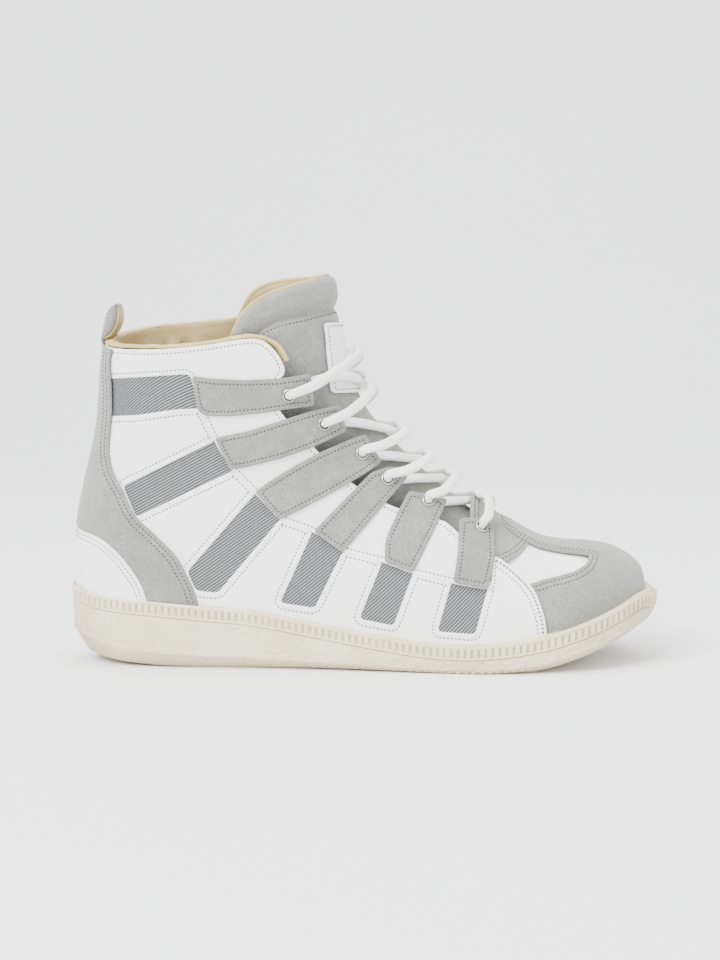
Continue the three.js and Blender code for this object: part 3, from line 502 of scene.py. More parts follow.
def panel(name, material, region, outer, thickness, shape=skin, v_limits=(-1, 1), spacing=1.0, edge=0.5, relief=None,
          wide=1.0, body="shoe", inward=False, rows=(), extra=None, replaces=()):
    """A closed sheet on the foot shape where region is negative, with rounded edges. rows are (field, depth, thread):
    stitches in a sunk groove where the field is -depth. An inward panel shows its inner face."""
    spacing *= FINE
    S, V = grid(region, shape, outer, wide, spacing, v_limits)
    P = shape(S, V, outer)
    P[..., 1] *= wide
    phi = region(P)
    s, v, f, faces = clipped(S, V, phi)
    depth = np.maximum(-f, 0)

    def face_of(s, v, depth, fields):
        p = shape(s, v, outer)
        p[..., 1] *= wide
        n = normals(shape, s, v, outer, wide) * (-1 if inward else 1)
        h = -edge * (1 - np.sqrt(np.clip(1 - (1 - np.clip(depth / (edge * 1.6), 0, 1)) ** 2, 0, 1)))
        for field, at, thread in fields:
            h = h - SEAM_DEPTH * np.exp(-(((-field(p)) - at) / SEAM_WIDTH) ** 2)
        if relief is not None:
            h = h + relief(p, depth)
        return p, n, p + n * h[..., None]

    p, n, top = face_of(s, v, depth, rows)
    low = p - n * np.maximum(thickness, THINNEST - np.sum((top - p) * n, 1))[:, None]
    count = len(p)
    pick = faces[len(faces) // 2]
    faces = facing(faces, top, pick, n[pick[0]])
    edges = {}
    for q in faces:
        for i, j in zip(q, q[1:] + q[:1]):
            if edges.pop((j, i), None) is None:
                edges[(i, j)] = True
    rim = [[j, i, i + count, j + count] for i, j in edges]
    values = {"edge": np.r_[depth, depth]}
    for key, val in (extra(p) if extra else {}).items():
        values[key] = np.r_[val, val]
    obj = make(name, np.vstack([top, low]), faces + [[i + count for i in q[::-1]] for q in faces] + rim, material,
               body=body, attributes=values, replaces=replaces)
    for field, at, thread in rows:
        if thread is None:
            continue
        for line in lines_at(S, V, field(P), -at):
            q = shape(line[:, 0], line[:, 1], outer)
            q[:, 1] *= wide
            keep = region(q) < -1.3
            for part in np.split(np.arange(len(q)), np.where(np.diff(keep.astype(int)) != 0)[0] + 1):
                if len(part) > 3 and keep[part[0]]:
                    _, nn, tt = face_of(line[part, 0], line[part, 1], -region(q[part]), rows)
                    sew(tt, nn, thread, body=body)
    return obj


def tube(name, points, outs, thin, broad, material, sides=14, power=2.0, body="shoe", closed=False,
         replaces=(), sharp=60, rough=None):
    """A swept oval or flat band: thin is its half size along outs, broad its half size across."""
    p, o = np.asarray(points, float), np.asarray(outs, float)
    t = unit(np.roll(p, -1, 0) - np.roll(p, 1, 0) if closed else np.gradient(p, axis=0))
    o = unit(o - t * np.sum(o * t, 1, keepdims=True))
    u = np.cross(t, o)
    n = len(p)
    thin, broad = np.broadcast_to(thin, n), np.broadcast_to(broad, n)
    a = np.linspace(0, 2 * np.pi, sides, endpoint=False) + np.pi
    ca, sa = np.cos(a), np.sin(a)
    ca, sa = np.sign(ca) * np.abs(ca) ** (2 / power), np.sign(sa) * np.abs(sa) ** (2 / power)
    verts = (p[:, None] + o[:, None] * (ca[None, :, None] * thin[:, None, None])
             + u[:, None] * (sa[None, :, None] * broad[:, None, None])).reshape(-1, 3)
    if rough is not None:
        verts = verts + rough(verts)
    k = np.arange(sides)
    m = (k + 1) % sides
    faces = []
    for i in range(n if closed else n - 1):
        a0, b0 = i * sides, (i + 1) % n * sides
        faces += np.stack([a0 + k, a0 + m, b0 + m, b0 + k], 1).tolist()
    if not closed:
        faces += [k[::-1].tolist(), (k + (n - 1) * sides).tolist()]
    values = {"along": np.repeat(run_of(p), sides), "round": np.tile(k / sides, n)}
    faces = facing(faces, verts, faces[0], verts[faces[0][0]] - p[0])
    return make(name, verts, faces, material, body=body, attributes=values, replaces=replaces, sharp=sharp)


def smooth_curve(points, step, closed=False):
    """Evenly spaced points on a centripetal Catmull-Rom curve."""
    p = np.asarray(points, float)
    p = np.vstack([p[-1], p, p[:2]]) if closed else np.vstack([2 * p[0] - p[1], p, 2 * p[-1] - p[-2]])
    out = []
    for k in range(1, len(p) - 2):
        q = p[k - 1:k + 3]
        gaps = np.maximum(np.linalg.norm(np.diff(q, axis=0), axis=1) ** 0.5, 1e-4)
        t0, t1, t2, t3 = np.r_[0, np.cumsum(gaps)]
        t = np.linspace(t1, t2, max(int(np.linalg.norm(q[2] - q[1]) / step * 2), 4), endpoint=False)[:, None]
        a1 = (t1 - t) / (t1 - t0) * q[0] + (t - t0) / (t1 - t0) * q[1]
        a2 = (t2 - t) / (t2 - t1) * q[1] + (t - t1) / (t2 - t1) * q[2]
        a3 = (t3 - t) / (t3 - t2) * q[2] + (t - t2) / (t3 - t2) * q[3]
        b1 = (t2 - t) / (t2 - t0) * a1 + (t - t0) / (t2 - t0) * a2
        b2 = (t3 - t) / (t3 - t1) * a2 + (t - t1) / (t3 - t1) * a3
        out.append((t2 - t) / (t2 - t1) * b1 + (t - t1) / (t2 - t1) * b2)
    out.append(p[-2][None])
    return resample(np.vstack(out), step)


# ---------------------------------------------------------------- materials
RIB_PITCH = 1.3


class Nodes:
    """Short names for building a material's node tree."""

    def __init__(self, name, **settings):
        self.mat = bpy.data.materials.new(name)
        self.mat.use_nodes = True
        self.tree = self.mat.node_tree
        self.shader = next(n for n in self.tree.nodes if n.type == "BSDF_PRINCIPLED")
        self.coord = self.tree.nodes.new("ShaderNodeTexCoord").outputs["Object"]
        for key, value in settings.items():
            self.shader.inputs[key.replace("_", " ")].default_value = value
        self.height = None

    def node(self, kind, **inputs):
        n = self.tree.nodes.new("ShaderNode" + kind)
        for key, value in inputs.items():
            self.put(n.inputs[key.replace("_", " ")], value)
        return n

    def put(self, socket, value):
        if isinstance(value, bpy.types.NodeSocket):
            self.tree.links.new(value, socket)
        else:
            socket.default_value = value

    def noise(self, scale, detail=2.0, rough=0.5, stretch=None):
        vector = self.coord
        if stretch:
            m = self.node("Mapping", Vector=vector, Scale=stretch)
            vector = m.outputs[0]
        return self.node("TexNoise", Vector=vector, Scale=scale, Detail=detail, Roughness=rough).outputs["Fac"]

    def cells(self, scale, feature="F1"):
        n = self.node("TexVoronoi", Vector=self.coord, Scale=scale)
        n.feature = feature
        return n.outputs["Distance"]

    def math(self, op, a, b=0.0, c=0.0):
        n = self.tree.nodes.new("ShaderNodeMath")
        n.operation = op
        for k, value in enumerate((a, b, c)):
            self.put(n.inputs[k], value)
        return n.outputs[0]

    def from_wave(self, value):
        """A value between -1 and 1 mapped to 0..1."""
        return self.math("ADD", self.math("MULTIPLY", value, 0.5), 0.5)

    def ramp(self, fac, low, high, a=0.0, b=1.0):
        """fac between low and high mapped to a..b."""
        n = self.node("MapRange", Value=fac)
        for key, value in (("From Min", low), ("From Max", high), ("To Min", a), ("To Max", b)):
            n.inputs[key].default_value = value
        return n.outputs[0]

    def mix(self, fac, a, b):
        n = self.tree.nodes.new("ShaderNodeMix")
        n.data_type = "RGBA"
        self.put(n.inputs[0], fac)
        self.put(n.inputs[6], (*a, 1) if isinstance(a, tuple) else a)
        self.put(n.inputs[7], (*b, 1) if isinstance(b, tuple) else b)
        return n.outputs[2]

    def attribute(self, name):
        n = self.tree.nodes.new("ShaderNodeAttribute")
        n.attribute_name = name
        return n.outputs["Fac"]

    def axis(self, k):
        return self.node("SeparateXYZ", Vector=self.coord).outputs[k]

    def colour(self, value):
        self.put(self.shader.inputs["Base Color"], value)

    def rough(self, value):
        self.put(self.shader.inputs["Roughness"], value)

    def bump(self, height, strength, distance):
        n = self.node("Bump", Strength=strength, Distance=distance, Height=height)
        if self.height is not None:
            self.tree.links.new(self.height, n.inputs["Normal"])
        self.height = n.outputs[0]
        self.tree.links.new(self.height, self.shader.inputs["Normal"])


def leather_material(name, base, shade, rough=0.46, wear=0.0):
    m = Nodes(name, Specular_IOR_Level=0.42)
    patches = m.noise(38, 3)
    col = m.mix(m.ramp(patches, 0.35, 0.7), base, shade)
    if wear:
        scuff = m.math("MULTIPLY", m.ramp(m.noise(260, 5, 0.7), 0.58, 0.72), wear)
        col = m.mix(scuff, col, tuple(c * 0.78 for c in shade))
    m.colour(col)
    m.rough(m.ramp(m.noise(90, 3), 0.3, 0.7, rough - 0.05, rough + 0.08))
    m.bump(m.cells(1150), 0.22, 0.00012)
    m.bump(m.noise(2600, 2), 0.18, 0.00010)
    m.bump(m.noise(70, 4, 0.6, (1, 1, 2.2)), 0.35, 0.0009)
    return m.mat


def suede_material(name, light, dark):
    m = Nodes(name, Specular_IOR_Level=0.12, Sheen_Weight=0.35, Sheen_Roughness=0.6)
    m.shader.inputs["Sheen Tint"].default_value = (0.9, 0.92, 0.9, 1)
    patches = m.noise(55, 4, 0.6)
    nap = m.noise(900, 4, 0.75)
    speck = m.noise(3200, 2, 0.8)
    col = m.mix(m.ramp(patches, 0.36, 0.66), light, dark)
    col = m.mix(m.ramp(m.noise(330, 4, 0.7), 0.40, 0.64, 0.0, 0.55), col, tuple(c * 0.82 for c in dark))
    col = m.mix(m.ramp(nap, 0.42, 0.64, 0.0, 0.8), col, tuple(c * 0.70 for c in dark))
    col = m.mix(m.ramp(speck, 0.54, 0.70, 0.0, 0.7), col, tuple(min(c * 1.6, 1) for c in light))
    m.colour(col)
    m.rough(0.95)
    m.bump(nap, 0.55, 0.00035)
    m.bump(speck, 0.6, 0.00022)
    return m.mat


WHITE = leather_material("white_leather", (0.87, 0.87, 0.865), (0.83, 0.83, 0.82), 0.45, 0.15)
SUEDE_MAT = suede_material("grey_suede", (0.255, 0.257, 0.236), (0.180, 0.181, 0.163))
LINING_MAT = leather_material("beige_lining", (0.37, 0.27, 0.115), (0.24, 0.165, 0.062), 0.5)
PIPING_MAT = leather_material("beige_piping", (0.50, 0.38, 0.16), (0.40, 0.30, 0.115), 0.5)


def textile_material():
    m = Nodes("grey_textile", Specular_IOR_Level=0.5, Sheen_Weight=0.2)
    rib = m.math("MULTIPLY", m.attribute("rib"), 2 * math.pi / RIB_PITCH)
    wave = m.from_wave(m.math("SINE", rib))
    weft = m.math("MULTIPLY", m.attribute("weft"), 2 * math.pi / 0.55)
    fine = m.from_wave(m.math("SINE", weft))
    fac = m.math("ADD", m.math("MULTIPLY", wave, 0.82), m.math("MULTIPLY", fine, 0.18))
    fac = m.math("ADD", fac, m.math("MULTIPLY", m.math("SUBTRACT", m.noise(420, 3), 0.5), 0.35))
    m.colour(m.mix(m.ramp(fac, 0.18, 0.9), (0.045, 0.047, 0.05), (0.26, 0.268, 0.27)))
    m.rough(0.55)
    m.bump(wave, 0.9, 0.0005)
    m.bump(fine, 0.3, 0.00012)
    return m.mat


def rubber_material(name, ribbed=False):
    m = Nodes(name, Specular_IOR_Level=0.35)
    z, x = m.axis(2), m.axis(0)
    col = m.mix(m.ramp(m.noise(45, 4), 0.35, 0.7), (0.74, 0.665, 0.47), (0.66, 0.585, 0.39))
    speck = m.noise(1500, 3, 0.7)
    col = m.mix(m.ramp(speck, 0.48, 0.68, 0, 0.55), col, (0.42, 0.36, 0.235))
    # Soiling low on the heel and round the toe.
    heel = m.math("MULTIPLY", m.ramp(x, -0.118, -0.146), m.ramp(z, 0.036, 0.004))
    toe = m.math("MULTIPLY", m.ramp(x, 0.095, 0.142), m.ramp(z, 0.040, 0.012))
    low = m.ramp(z, 0.007, 0.0005, 0.0, 0.5)
    dirt = m.math("MAXIMUM", m.math("MAXIMUM", heel, m.math("MULTIPLY", toe, 0.6)), low)
    dirt = m.math("MULTIPLY", dirt, m.ramp(m.noise(260, 5, 0.7), 0.30, 0.62, 0.35, 1.0))
    col = m.mix(m.math("MULTIPLY", dirt, 0.85), col, (0.30, 0.235, 0.15))
    if ribbed:
        # Painted shade: the rib grooves of the foxing are coloured darker.
        groove = m.attribute("groove")
        col = m.mix(m.math("MULTIPLY", groove, 0.85), col, (0.42, 0.375, 0.26))
        col = m.mix(m.math("MULTIPLY", m.ramp(m.noise(30, 2), 0.55, 0.7), 0.25), col, (0.80, 0.72, 0.48))
    m.colour(col)
    m.rough(m.ramp(m.noise(300, 3), 0.3, 0.7, 0.55, 0.75))
    if not ribbed:
        m.bump(m.cells(720), 0.8, 0.0005)
        m.bump(m.noise(420, 3, 0.6, (1, 1, 2.4)), 0.8, 0.0007)
    m.bump(m.noise(1800, 2), 0.25, 0.00012)
    return m.mat


def lace_material():
    m = Nodes("white_lace", Specular_IOR_Level=0.3, Sheen_Weight=0.25)
    u = m.math("MULTIPLY", m.attribute("along"), 2 * math.pi / 0.8)
    k = m.math("MULTIPLY", m.attribute("round"), 2 * math.pi)
    a = m.math("SINE", m.math("ADD", u, m.math("MULTIPLY", k, 9.0)))
    b = m.math("SINE", m.math("SUBTRACT", u, m.math("MULTIPLY", k, 9.0)))
    weave = m.from_wave(m.math("MULTIPLY", a, b))
    m.colour(m.mix(m.ramp(weave, 0.0, 1.0), (0.80, 0.80, 0.78), (0.88, 0.88, 0.865)))
    m.rough(0.8)
    m.bump(weave, 0.6, 0.00022)
    return m.mat


def plain(name, colour, rough, metal=0.0, bump=None, **extra):
    m = Nodes(name, Metallic=metal, **extra)
    m.colour(m.mix(m.ramp(m.noise(160, 3), 0.35, 0.65), colour, tuple(c * 0.93 for c in colour)))
    m.rough(m.ramp(m.noise(300, 3), 0.3, 0.7, max(rough - 0.04, 0), rough + 0.05))
    if bump:
        m.bump(m.noise(bump[0], 3), bump[1], 0.0002)
    return m.mat


TEXTILE = textile_material()
RUBBER = rubber_material("cream_rubber")
FOXING_MAT = rubber_material("foxing_rubber", ribbed=True)
LACE_MAT = lace_material()
METAL = plain("silver_metal", (0.42, 0.41, 0.385), 0.26, 1.0)
LABEL = plain("label_fabric", (0.84, 0.84, 0.83), 0.8, 0.0, (2400, 0.5))
THREADS = {
    "grey": plain("thread_grey", (0.04, 0.041, 0.04), 0.75, 0.0, (3500, 0.5)),
    # The white thread is coloured dark grey: painted shade of its stitch holes.
    "white": plain("thread_white_painted_shade", (0.13, 0.13, 0.127), 0.75, 0.0, (3500, 0.5)),
    "beige": plain("thread_beige", (0.55, 0.47, 0.30), 0.75, 0.0, (3500, 0.5)),
}


# ---------------------------------------------------------------- relief shared by pieces
def creased(size, height, seed):
    """Soft unevenness of worn leather or suede."""
    return lambda P, depth: height * noise3(P, size, seed, 3)


def leather_relief(P, depth):
    # A folded edge stands a little proud beside the windows; the open field is gently creased.
    return 0.3 * noise3(P, 16, 3, 3) + 0.16 * (1 - ease(depth, 1.4, 2.4))


# ---------------------------------------------------------------- upper panels on both sides
SOLE_TUCK = above_rim(-0.8)
cap_area = outline(HEEL_CAP, 60)
RIB_ANGLES = [None, 27, 34, 38, 41, 45]
EYELET_HOLE, RING_BORE, RING_SCALE = 2.6, 2.3, 0.75


def rib_coordinates(P):
    """Distance across the textile's ribs, which run their own way in each window and curve in the first."""
    x, z = P[..., 0], P[..., 2]
    near = np.argmin([distance(x, z, w) for w in WINDOWS], axis=0)
    rib, weft = np.zeros_like(x), np.zeros_like(x)
    xs = np.linspace(-140, -60, 81)
    slope = np.tan(np.radians(np.interp(xs, [-127, -76], [52, 18])))
    rise = np.concatenate([[0], np.cumsum((slope[1:] + slope[:-1]) / 2)])
    first = (z - np.interp(x, xs, rise)) * 0.86
    for k in range(len(WINDOWS)):
        if k == 0:
            rib, weft = np.where(near == k, first, rib), np.where(near == k, x + z * 0.5, weft)
        else:
            a = math.radians(RIB_ANGLES[k])
            rib = np.where(near == k, z * math.cos(a) - x * math.sin(a), rib)
            weft = np.where(near == k, x * math.cos(a) + z * math.sin(a), weft)
    return {"rib": rib, "weft": weft}


def ribbed(P, depth):
    rib = rib_coordinates(P)["rib"]
    return 0.2 * np.sin(2 * np.pi * rib / RIB_PITCH) + 0.3 * noise3(P, 20, 5, 2)


def eyelet_frame(side, k):
    s, v = locate(np.array([EYELETS[k][0]], float), np.array([EYELETS[k][1]], float))
    v = v if side < 0 else -v
    return skin(s, v, 0.0)[0], normals(skin, s, v, 0.0)[0]


def outward(side, n):
    return n if n[1] * side > 0 else -n


QUARTER_FRONT_LINE = rounded([[-200, -50], [-200, 200], [60, 200], [66.3, 60], *QUARTER_FRONT, [93, -50]], 20)


def front_in(P):
    return distance(P[..., 0], P[..., 2], QUARTER_FRONT_LINE)


def sunk_at_quarter(size, height, seed, floor):
    """Worn relief that dips under the quarter's front edge."""
    return lambda P, depth: height * noise3(P, size, seed, 3) - floor * (1 - ease(front_in(P), 0.4, 8.5))


for side, word in ((-1, "lateral"), (1, "medial")):
    limits = (-1, 0) if side < 0 else (0, 1)
    stays = outline([*SEAM[1:], *EYESTAY_EDGE[::-1], [-45, 190], [-132, 190], SEAM[0]], 3)
    eyestay_area = both(stays, below_collar(0.6))
    panel(word + "_eyestay_panel", WHITE, eyestay_area, 0.0, LEATHER, v_limits=limits, relief=creased(16, 0.3, 3),
          edge=0.4, rows=[(eyestay_area, 2.2, "white")], replaces=[word + "_eyestay"])
    lower = outline([*SEAM, [66.3, 55], *QUARTER_FRONT, [-120, 8], [-100, 24], [-106, 52], [-114, 60], [-118, 80],
                     [-128, 96]], 4)
    windows = either(*[outline(w, 2.2) for w in WINDOWS])
    body_of_quarter = both(lower, outside(windows), SOLE_TUCK, front_in)
    panel(word + "_quarter_panel", WHITE, body_of_quarter, 0.0, LEATHER, v_limits=limits, edge=0.55,
          relief=leather_relief,
          rows=[(outside(windows), 2.9, "white"), (front_in, 2.0, "white"), (front_in, 4.2, "white"),
                (both(lower), 1.6, "white")],
          replaces=[word + "_quarter"])
    behind = either(*[outline(w, 4) for w in WINDOWS])
    textile = both(lambda P, w=behind: w(P) - 2.6, SOLE_TUCK)
    panel(word + "_textile_panel", TEXTILE, textile, D_BASE + 0.7, BASE, v_limits=limits, spacing=0.42,
          relief=ribbed, extra=rib_coordinates, replaces=[word + "_textile"])
    for k, shape_of in enumerate(STRAPS):
        centre, out = eyelet_frame(side, k)
        out = outward(side, out)
        edge_of = outline(shape_of, 1.6)
        hole = lambda P, c=centre, o=out: EYELET_HOLE - np.linalg.norm(np.cross(P - c, o), axis=-1)
        panel("%s_strap_%d_suede" % (word, k + 1), SUEDE_MAT, both(edge_of, hole), D_SUEDE, SUEDE, v_limits=limits,
              spacing=0.8, edge=0.45, relief=creased(9, 0.16, 11 + k), rows=[(edge_of, 2.3, "grey")],
              replaces=["%s_strap_%d" % (word, k + 1)])
        # Eyelet: a rolled ring with a barrel through the strap, from radius and height.
        face = D_SUEDE + 0.1
        profile = [(2.55, -0.9), (2.5, 0.6), (2.55, face + 0.55), (2.75, face + 0.95), (3.1, face + 1.12),
                   (3.5, face + 1.02), (3.85, face + 0.72), (4.05, face + 0.3), (4.1, face - 0.05),
                   (3.6, face - 0.15), (3.1, face - 0.3), (3.0, -0.9)]
        u = np.cross(out, [0, 0, 1.0])
        u /= np.linalg.norm(u)
        w = np.cross(out, u)
        a = np.linspace(0, 2 * np.pi, 40, endpoint=False)
        loops = [centre + out * h + (RING_BORE + (r - 2.5) * RING_SCALE)
                 * (np.cos(a)[:, None] * u + np.sin(a)[:, None] * w) for r, h in profile]
        n = len(a)
        faces = [[i % len(loops) * n + j, i % len(loops) * n + (j + 1) % n, (i + 1) % len(loops) * n + (j + 1) % n,
                  (i + 1) % len(loops) * n + j] for i in range(len(loops)) for j in range(n)]
        verts = np.vstack(loops)
        faces = facing(faces, verts, faces[5 * n], out)
        make("%s_eyelet_%d_ring" % (word, k + 1), verts, faces, METAL,
             replaces=["%s_eyelet_%d" % (word, k + 1)])

# ---------------------------------------------------------------- toe
vamp_area = outline([[76, 95], [76, 58], [70, 45], [66.4, 6], [160, 6], [160, 90]], 2)
panel("vamp_panel", WHITE, both(vamp_area, SOLE_TUCK), D_BASE + 0.5, BASE, relief=sunk_at_quarter(18, 0.2, 2, 1.7),
      replaces=["vamp"])
strip = outline([[67.4, -6], [71, -13], [84, -16], [112, -19], [150, -19], [150, 21], [112, 21], [84, 16], [71, 13],
                 [67.4, 6]], 12, "xy")
cap_front = outline([[114, -20], [106, -24], [95, -28], [84, -33], [76, -40], [70, -80], [170, -80], [170, 80],
                     [70, 80], [76, 44], [84, 36], [95, 32], [106, 28], [112, 24]], 12, "xy")
cap_sides = outline([[111.5, 70], [114.5, 52.6], [109, 48.2], [100, 45.8], [90, 44], [81, 43.6], [84, 35], [87, 26],
                     [89, 8], [160, 8], [160, 80]], 5)
cap_region = either(both(cap_front, cap_sides), strip)
panel("toe_cap_suede", SUEDE_MAT, both(cap_region, SOLE_TUCK, lambda P: 68.6 - P[..., 0]), D_SUEDE - 0.4, SUEDE,
      edge=0.5, spacing=0.9, relief=sunk_at_quarter(14, 0.2, 21, 3.1),
      rows=[(cap_region, 1.8, "grey"), (cap_region, 3.9, "grey")],
      replaces=["toe_cap"])
base_area = outline([[56, 110], [56, 54], [63, 50], [70, 51], [77, 53.6], [82, 56.4], [85, 60], [86.4, 64],
                     [88, 110]], 4)
panel("tongue_base_suede", SUEDE_MAT, base_area, 0.0, LEATHER, edge=0.4, spacing=0.8,
      relief=creased(12, 0.15, 22), rows=[(base_area, 1.8, "grey"), (base_area, 3.6, "grey")],
      replaces=["tongue_base"])

# ---------------------------------------------------------------- heel
stay_front = outline([*HEEL_STAY, [-170, 24], [-170, 170]], 14)
cap_gap = outline([[-170, 71], *[[x + 0.2, z + 0.2] for x, z in HEEL_CAP[1:8]], [-170, 20]], 14)
stay = both(stay_front, outside(cap_gap), SOLE_TUCK, below_collar(0.6))
panel("heel_stay_suede", SUEDE_MAT, stay, D_SUEDE, SUEDE, shape=skin_back, v_limits=(-2, 0), edge=0.5,
      relief=creased(14, 0.22, 31), rows=[(stay_front, 2.0, "grey"), (stay_front, 4.4, "grey")],
      replaces=["heel_stay"])
panel("heel_cap_leather", WHITE, both(cap_area, SOLE_TUCK), D_SUEDE, LEATHER, shape=skin_back, v_limits=(-2, 0),
      edge=0.55, relief=creased(16, 0.25, 33), rows=[(cap_area, 2.0, "white"), (cap_area, 4.2, "white")],
      replaces=["heel_cap"])

# ---------------------------------------------------------------- inside: lining, padding, footbed
throat = outline([*[[x - 4, z - 3] for x, z in EYESTAY_EDGE], [70, 49.6], [73, 56], [74, 300], [-46, 300]], 2)


def soft_folds(P, depth):
    # Padding swells below the collar and the lining lies in slack folds that run down from it.
    low = P[..., 2] - table(COLLAR, P[..., 0]) - collar_rise(P[..., 1]) * ease(-P[..., 0], 30, 43)
    swell = 2.2 * np.exp(-((low + 13) / 11) ** 2)
    folds = noise3(P * np.array([1.0, 1.0, 0.3]), 6, 41, 3)
    loose = swell + 2.3 * folds * ease(-low, 3, 12) * (1 - ease(-low, 60, 90)) + 0.2 * noise3(P, 9, 42, 2)
    # It lies flat where the tongue's wings slide along it.
    return loose * ease(-P[..., 0], 68, 92)


rear = both(outside(throat), lambda P: P[..., 0] - 40.2, SOLE_TUCK, below_collar(1.4))
front = both(outside(throat), lambda P: 40.1 - P[..., 0], SOLE_TUCK)
collar_pad = panel("collar_and_quarter_lining", LINING_MAT, rear, D_LINING - LINING, LINING, shape=skin_back,
                   v_limits=(-2, 0), inward=True, edge=0.3, relief=soft_folds,
                   replaces=["quarter_lining", "collar_foam", "heel_counter"])
panel("toe_lining", LINING_MAT, front, D_LINING - LINING, LINING, inward=True, edge=0.3, spacing=1.6,
      replaces=["vamp_lining", "toe_puff"])

# Footbed: a dished sheet from side to side.
FOOTBED_BACK, FOOTBED_FRONT, FOOTBED_DEPTH, FOOTBED_THICKNESS = -133, 130, -6.4, 3.4
xs = np.linspace(FOOTBED_BACK, FOOTBED_FRONT, int(264 / 2 / FINE))
side_lines = []
for side in (-1, 1):
    s, v = locate(xs, table(SOLE_TOP, xs) + 7.5, FOOTBED_DEPTH)
    side_lines.append(skin(s, v if side < 0 else -v, FOOTBED_DEPTH)[:, 1])
m = 41
u = np.linspace(0, 1, m)
X = np.repeat(xs[:, None], m, 1)
Y = side_lines[0][:, None] * (1 - u) + side_lines[1][:, None] * u
ends = np.minimum(1, np.minimum(xs - FOOTBED_BACK, FOOTBED_FRONT - xs) / 16)
Y = (Y - Y.mean(1, keepdims=True)) * np.sqrt(1 - (1 - ends) ** 2)[:, None] * 0.985 + Y.mean(1, keepdims=True)
dish = 1.6 * np.abs(2 * u - 1) ** 4
Z = table(SOLE_TOP, X) + 6.2 + dish[None] + 0.25 * noise3(np.stack([X, Y, X * 0], -1), 14, 51, 3)
top = np.stack([X, Y, Z], -1).reshape(-1, 3)
low = top - [0, 0, FOOTBED_THICKNESS]
k = np.arange(len(top)).reshape(X.shape)
quads = quads_of(*X.shape)
edge_loop = np.r_[k[:-1, 0], k[-1, :-1], k[1:, -1][::-1], k[0, 1:][::-1]]
n = len(top)
rim = np.stack([edge_loop, edge_loop + n, np.roll(edge_loop, -1) + n, np.roll(edge_loop, -1)], 1)
footbed = make("footbed_cushion", np.vstack([top, low]), np.vstack([quads, quads[:, ::-1] + n, rim]).tolist(),
               LINING_MAT, replaces=["footbed", "insole_board", "sole_filler"])

# Collar binding: a soft roll over the top edge of leather, padding and lining.
collar_edge = [[-32.4, 151.5], [-36, 158], [-42, 162.4], [-48, 163.8], [-57, 163], [-67, 161.2],
               [-86, 159.5], [-107, 158.7], [-118, 157.9], [-124, 157.4]]


def on_both_sides(edge, d, lift):
    e = np.array(edge, float)
    s, v = locate(e[:, 0], e[:, 1], d)
    near, far = skin(s, v, d), skin(s, -v, d)
    points = np.vstack([near, far[::-1]])
    points[:, 2] += lift(points)
    return points


path = on_both_sides(collar_edge, D_BASE - 1.2, lambda p: collar_rise(p[:, 1]) * ease(-p[:, 0], 32, 42) - 1.0)
path = smooth_curve(path, 1.0 * FINE)
out = path - np.array([-70, 0, 0])
out[:, 2] = 0
tube("collar_binding", path, out, 2.6, 1.1, PIPING_MAT, sides=18, power=2.3,
     replaces=["collar_piping"], rough=lambda P: 0.18 * noise3(P, 5, 61, 2)[:, None] * np.array([0, 0, 1.0]))

# ---------------------------------------------------------------- tongue
tongue_zone = outline([[20, 191], [-12, 190.6], [-16, 190.2], [-22, 187.8], [-31, 185.6], [-41, 182.4],
                       [-48.5, 178.4], [-54, 173], [-58, 165.6], [-60, 161], [-62, 148], [-58, 128],
                       [-45, 103], [-25, 86], [0, 72], [30, 58], [56, 46], [69, 58], [69, 100]], 5)
ROLL_SEAM = np.array([[-60, 158], [-46.5, 162.8], [-42.8, 166.6], [-37.6, 168.9], [-28.5, 171.1], [-21.9, 172.4],
                      [-10, 175.6], [10, 177]], float)


def tongue_rise(P):
    """How much higher the tongue's edge is on the medial side."""
    more = np.interp(-P[..., 0], [10, 20, 36, 49, 57, 68], [1.5, 3, 6, 8.4, 9.8, 9.5])
    return np.clip((P[..., 1] + 26) / 52, 0, 1) * more * ease(P[..., 2], 125, 160)


def tongue_area(P):
    low = P.copy()
    low[..., 2] -= tongue_rise(P)
    low[..., 0] += 0.35 * tongue_rise(P)
    return tongue_zone(low)


def tongue_relief(P, depth):
    d = distance(P[..., 0], P[..., 2], ROLL_SEAM, closed=False)
    above = P[..., 2] > np.interp(P[..., 0], ROLL_SEAM[:, 0], ROLL_SEAM[:, 1])
    puff = np.where(above, 1.5, 0.8) * ease(d, 0, 6)
    return puff - 1.0 * np.exp(-(d / 1.3) ** 2) + 0.3 * noise3(P, 13, 71, 3) - 0.4


tongue_pad = panel(
    "tongue_front", SUEDE_MAT, tongue_area, D_TONGUE - 0.4, 3.6, wide=TONGUE_EASE, body="tongue", edge=2.6,
    relief=tongue_relief, replaces=["tongue_suede", "tongue_padding"],
    rows=[(lambda P: P[..., 2] - np.interp(P[..., 0], *ROLL_SEAM.T) + 2.2, 0.0, "grey")])
panel("tongue_back", LINING_MAT, tongue_area, -13.5, 4.4, wide=TONGUE_EASE, body="tongue", edge=2.6, inward=True,
      relief=lambda P, depth: 0.9 * noise3(P * np.array([1, 1, 0.5]), 11, 72, 3) * ease(depth, 1, 8),
      replaces=["tongue_lining"])
TONGUE_EDGE = D_TONGUE - 3.4
S, V = grid(tongue_area, skin, TONGUE_EDGE, TONGUE_EASE, 1.4 * FINE, (-1, 1))
P = skin(S, V, TONGUE_EDGE)
P[..., 1] *= TONGUE_EASE
edge = max(lines_at(S, V, tongue_area(P), 0.1), key=len)[:-1]
path = skin(edge[:, 0], edge[:, 1], TONGUE_EDGE)
path[:, 1] *= TONGUE_EASE
path = np.roll(path, -int(np.argmin(path[:, 2])), axis=0)
path = smooth_curve(resample(path[path[:, 2] > 150], 4.0), 1.0 * FINE)
out = np.cross(np.gradient(path, axis=0), path - np.array([-60, 0, 120]))
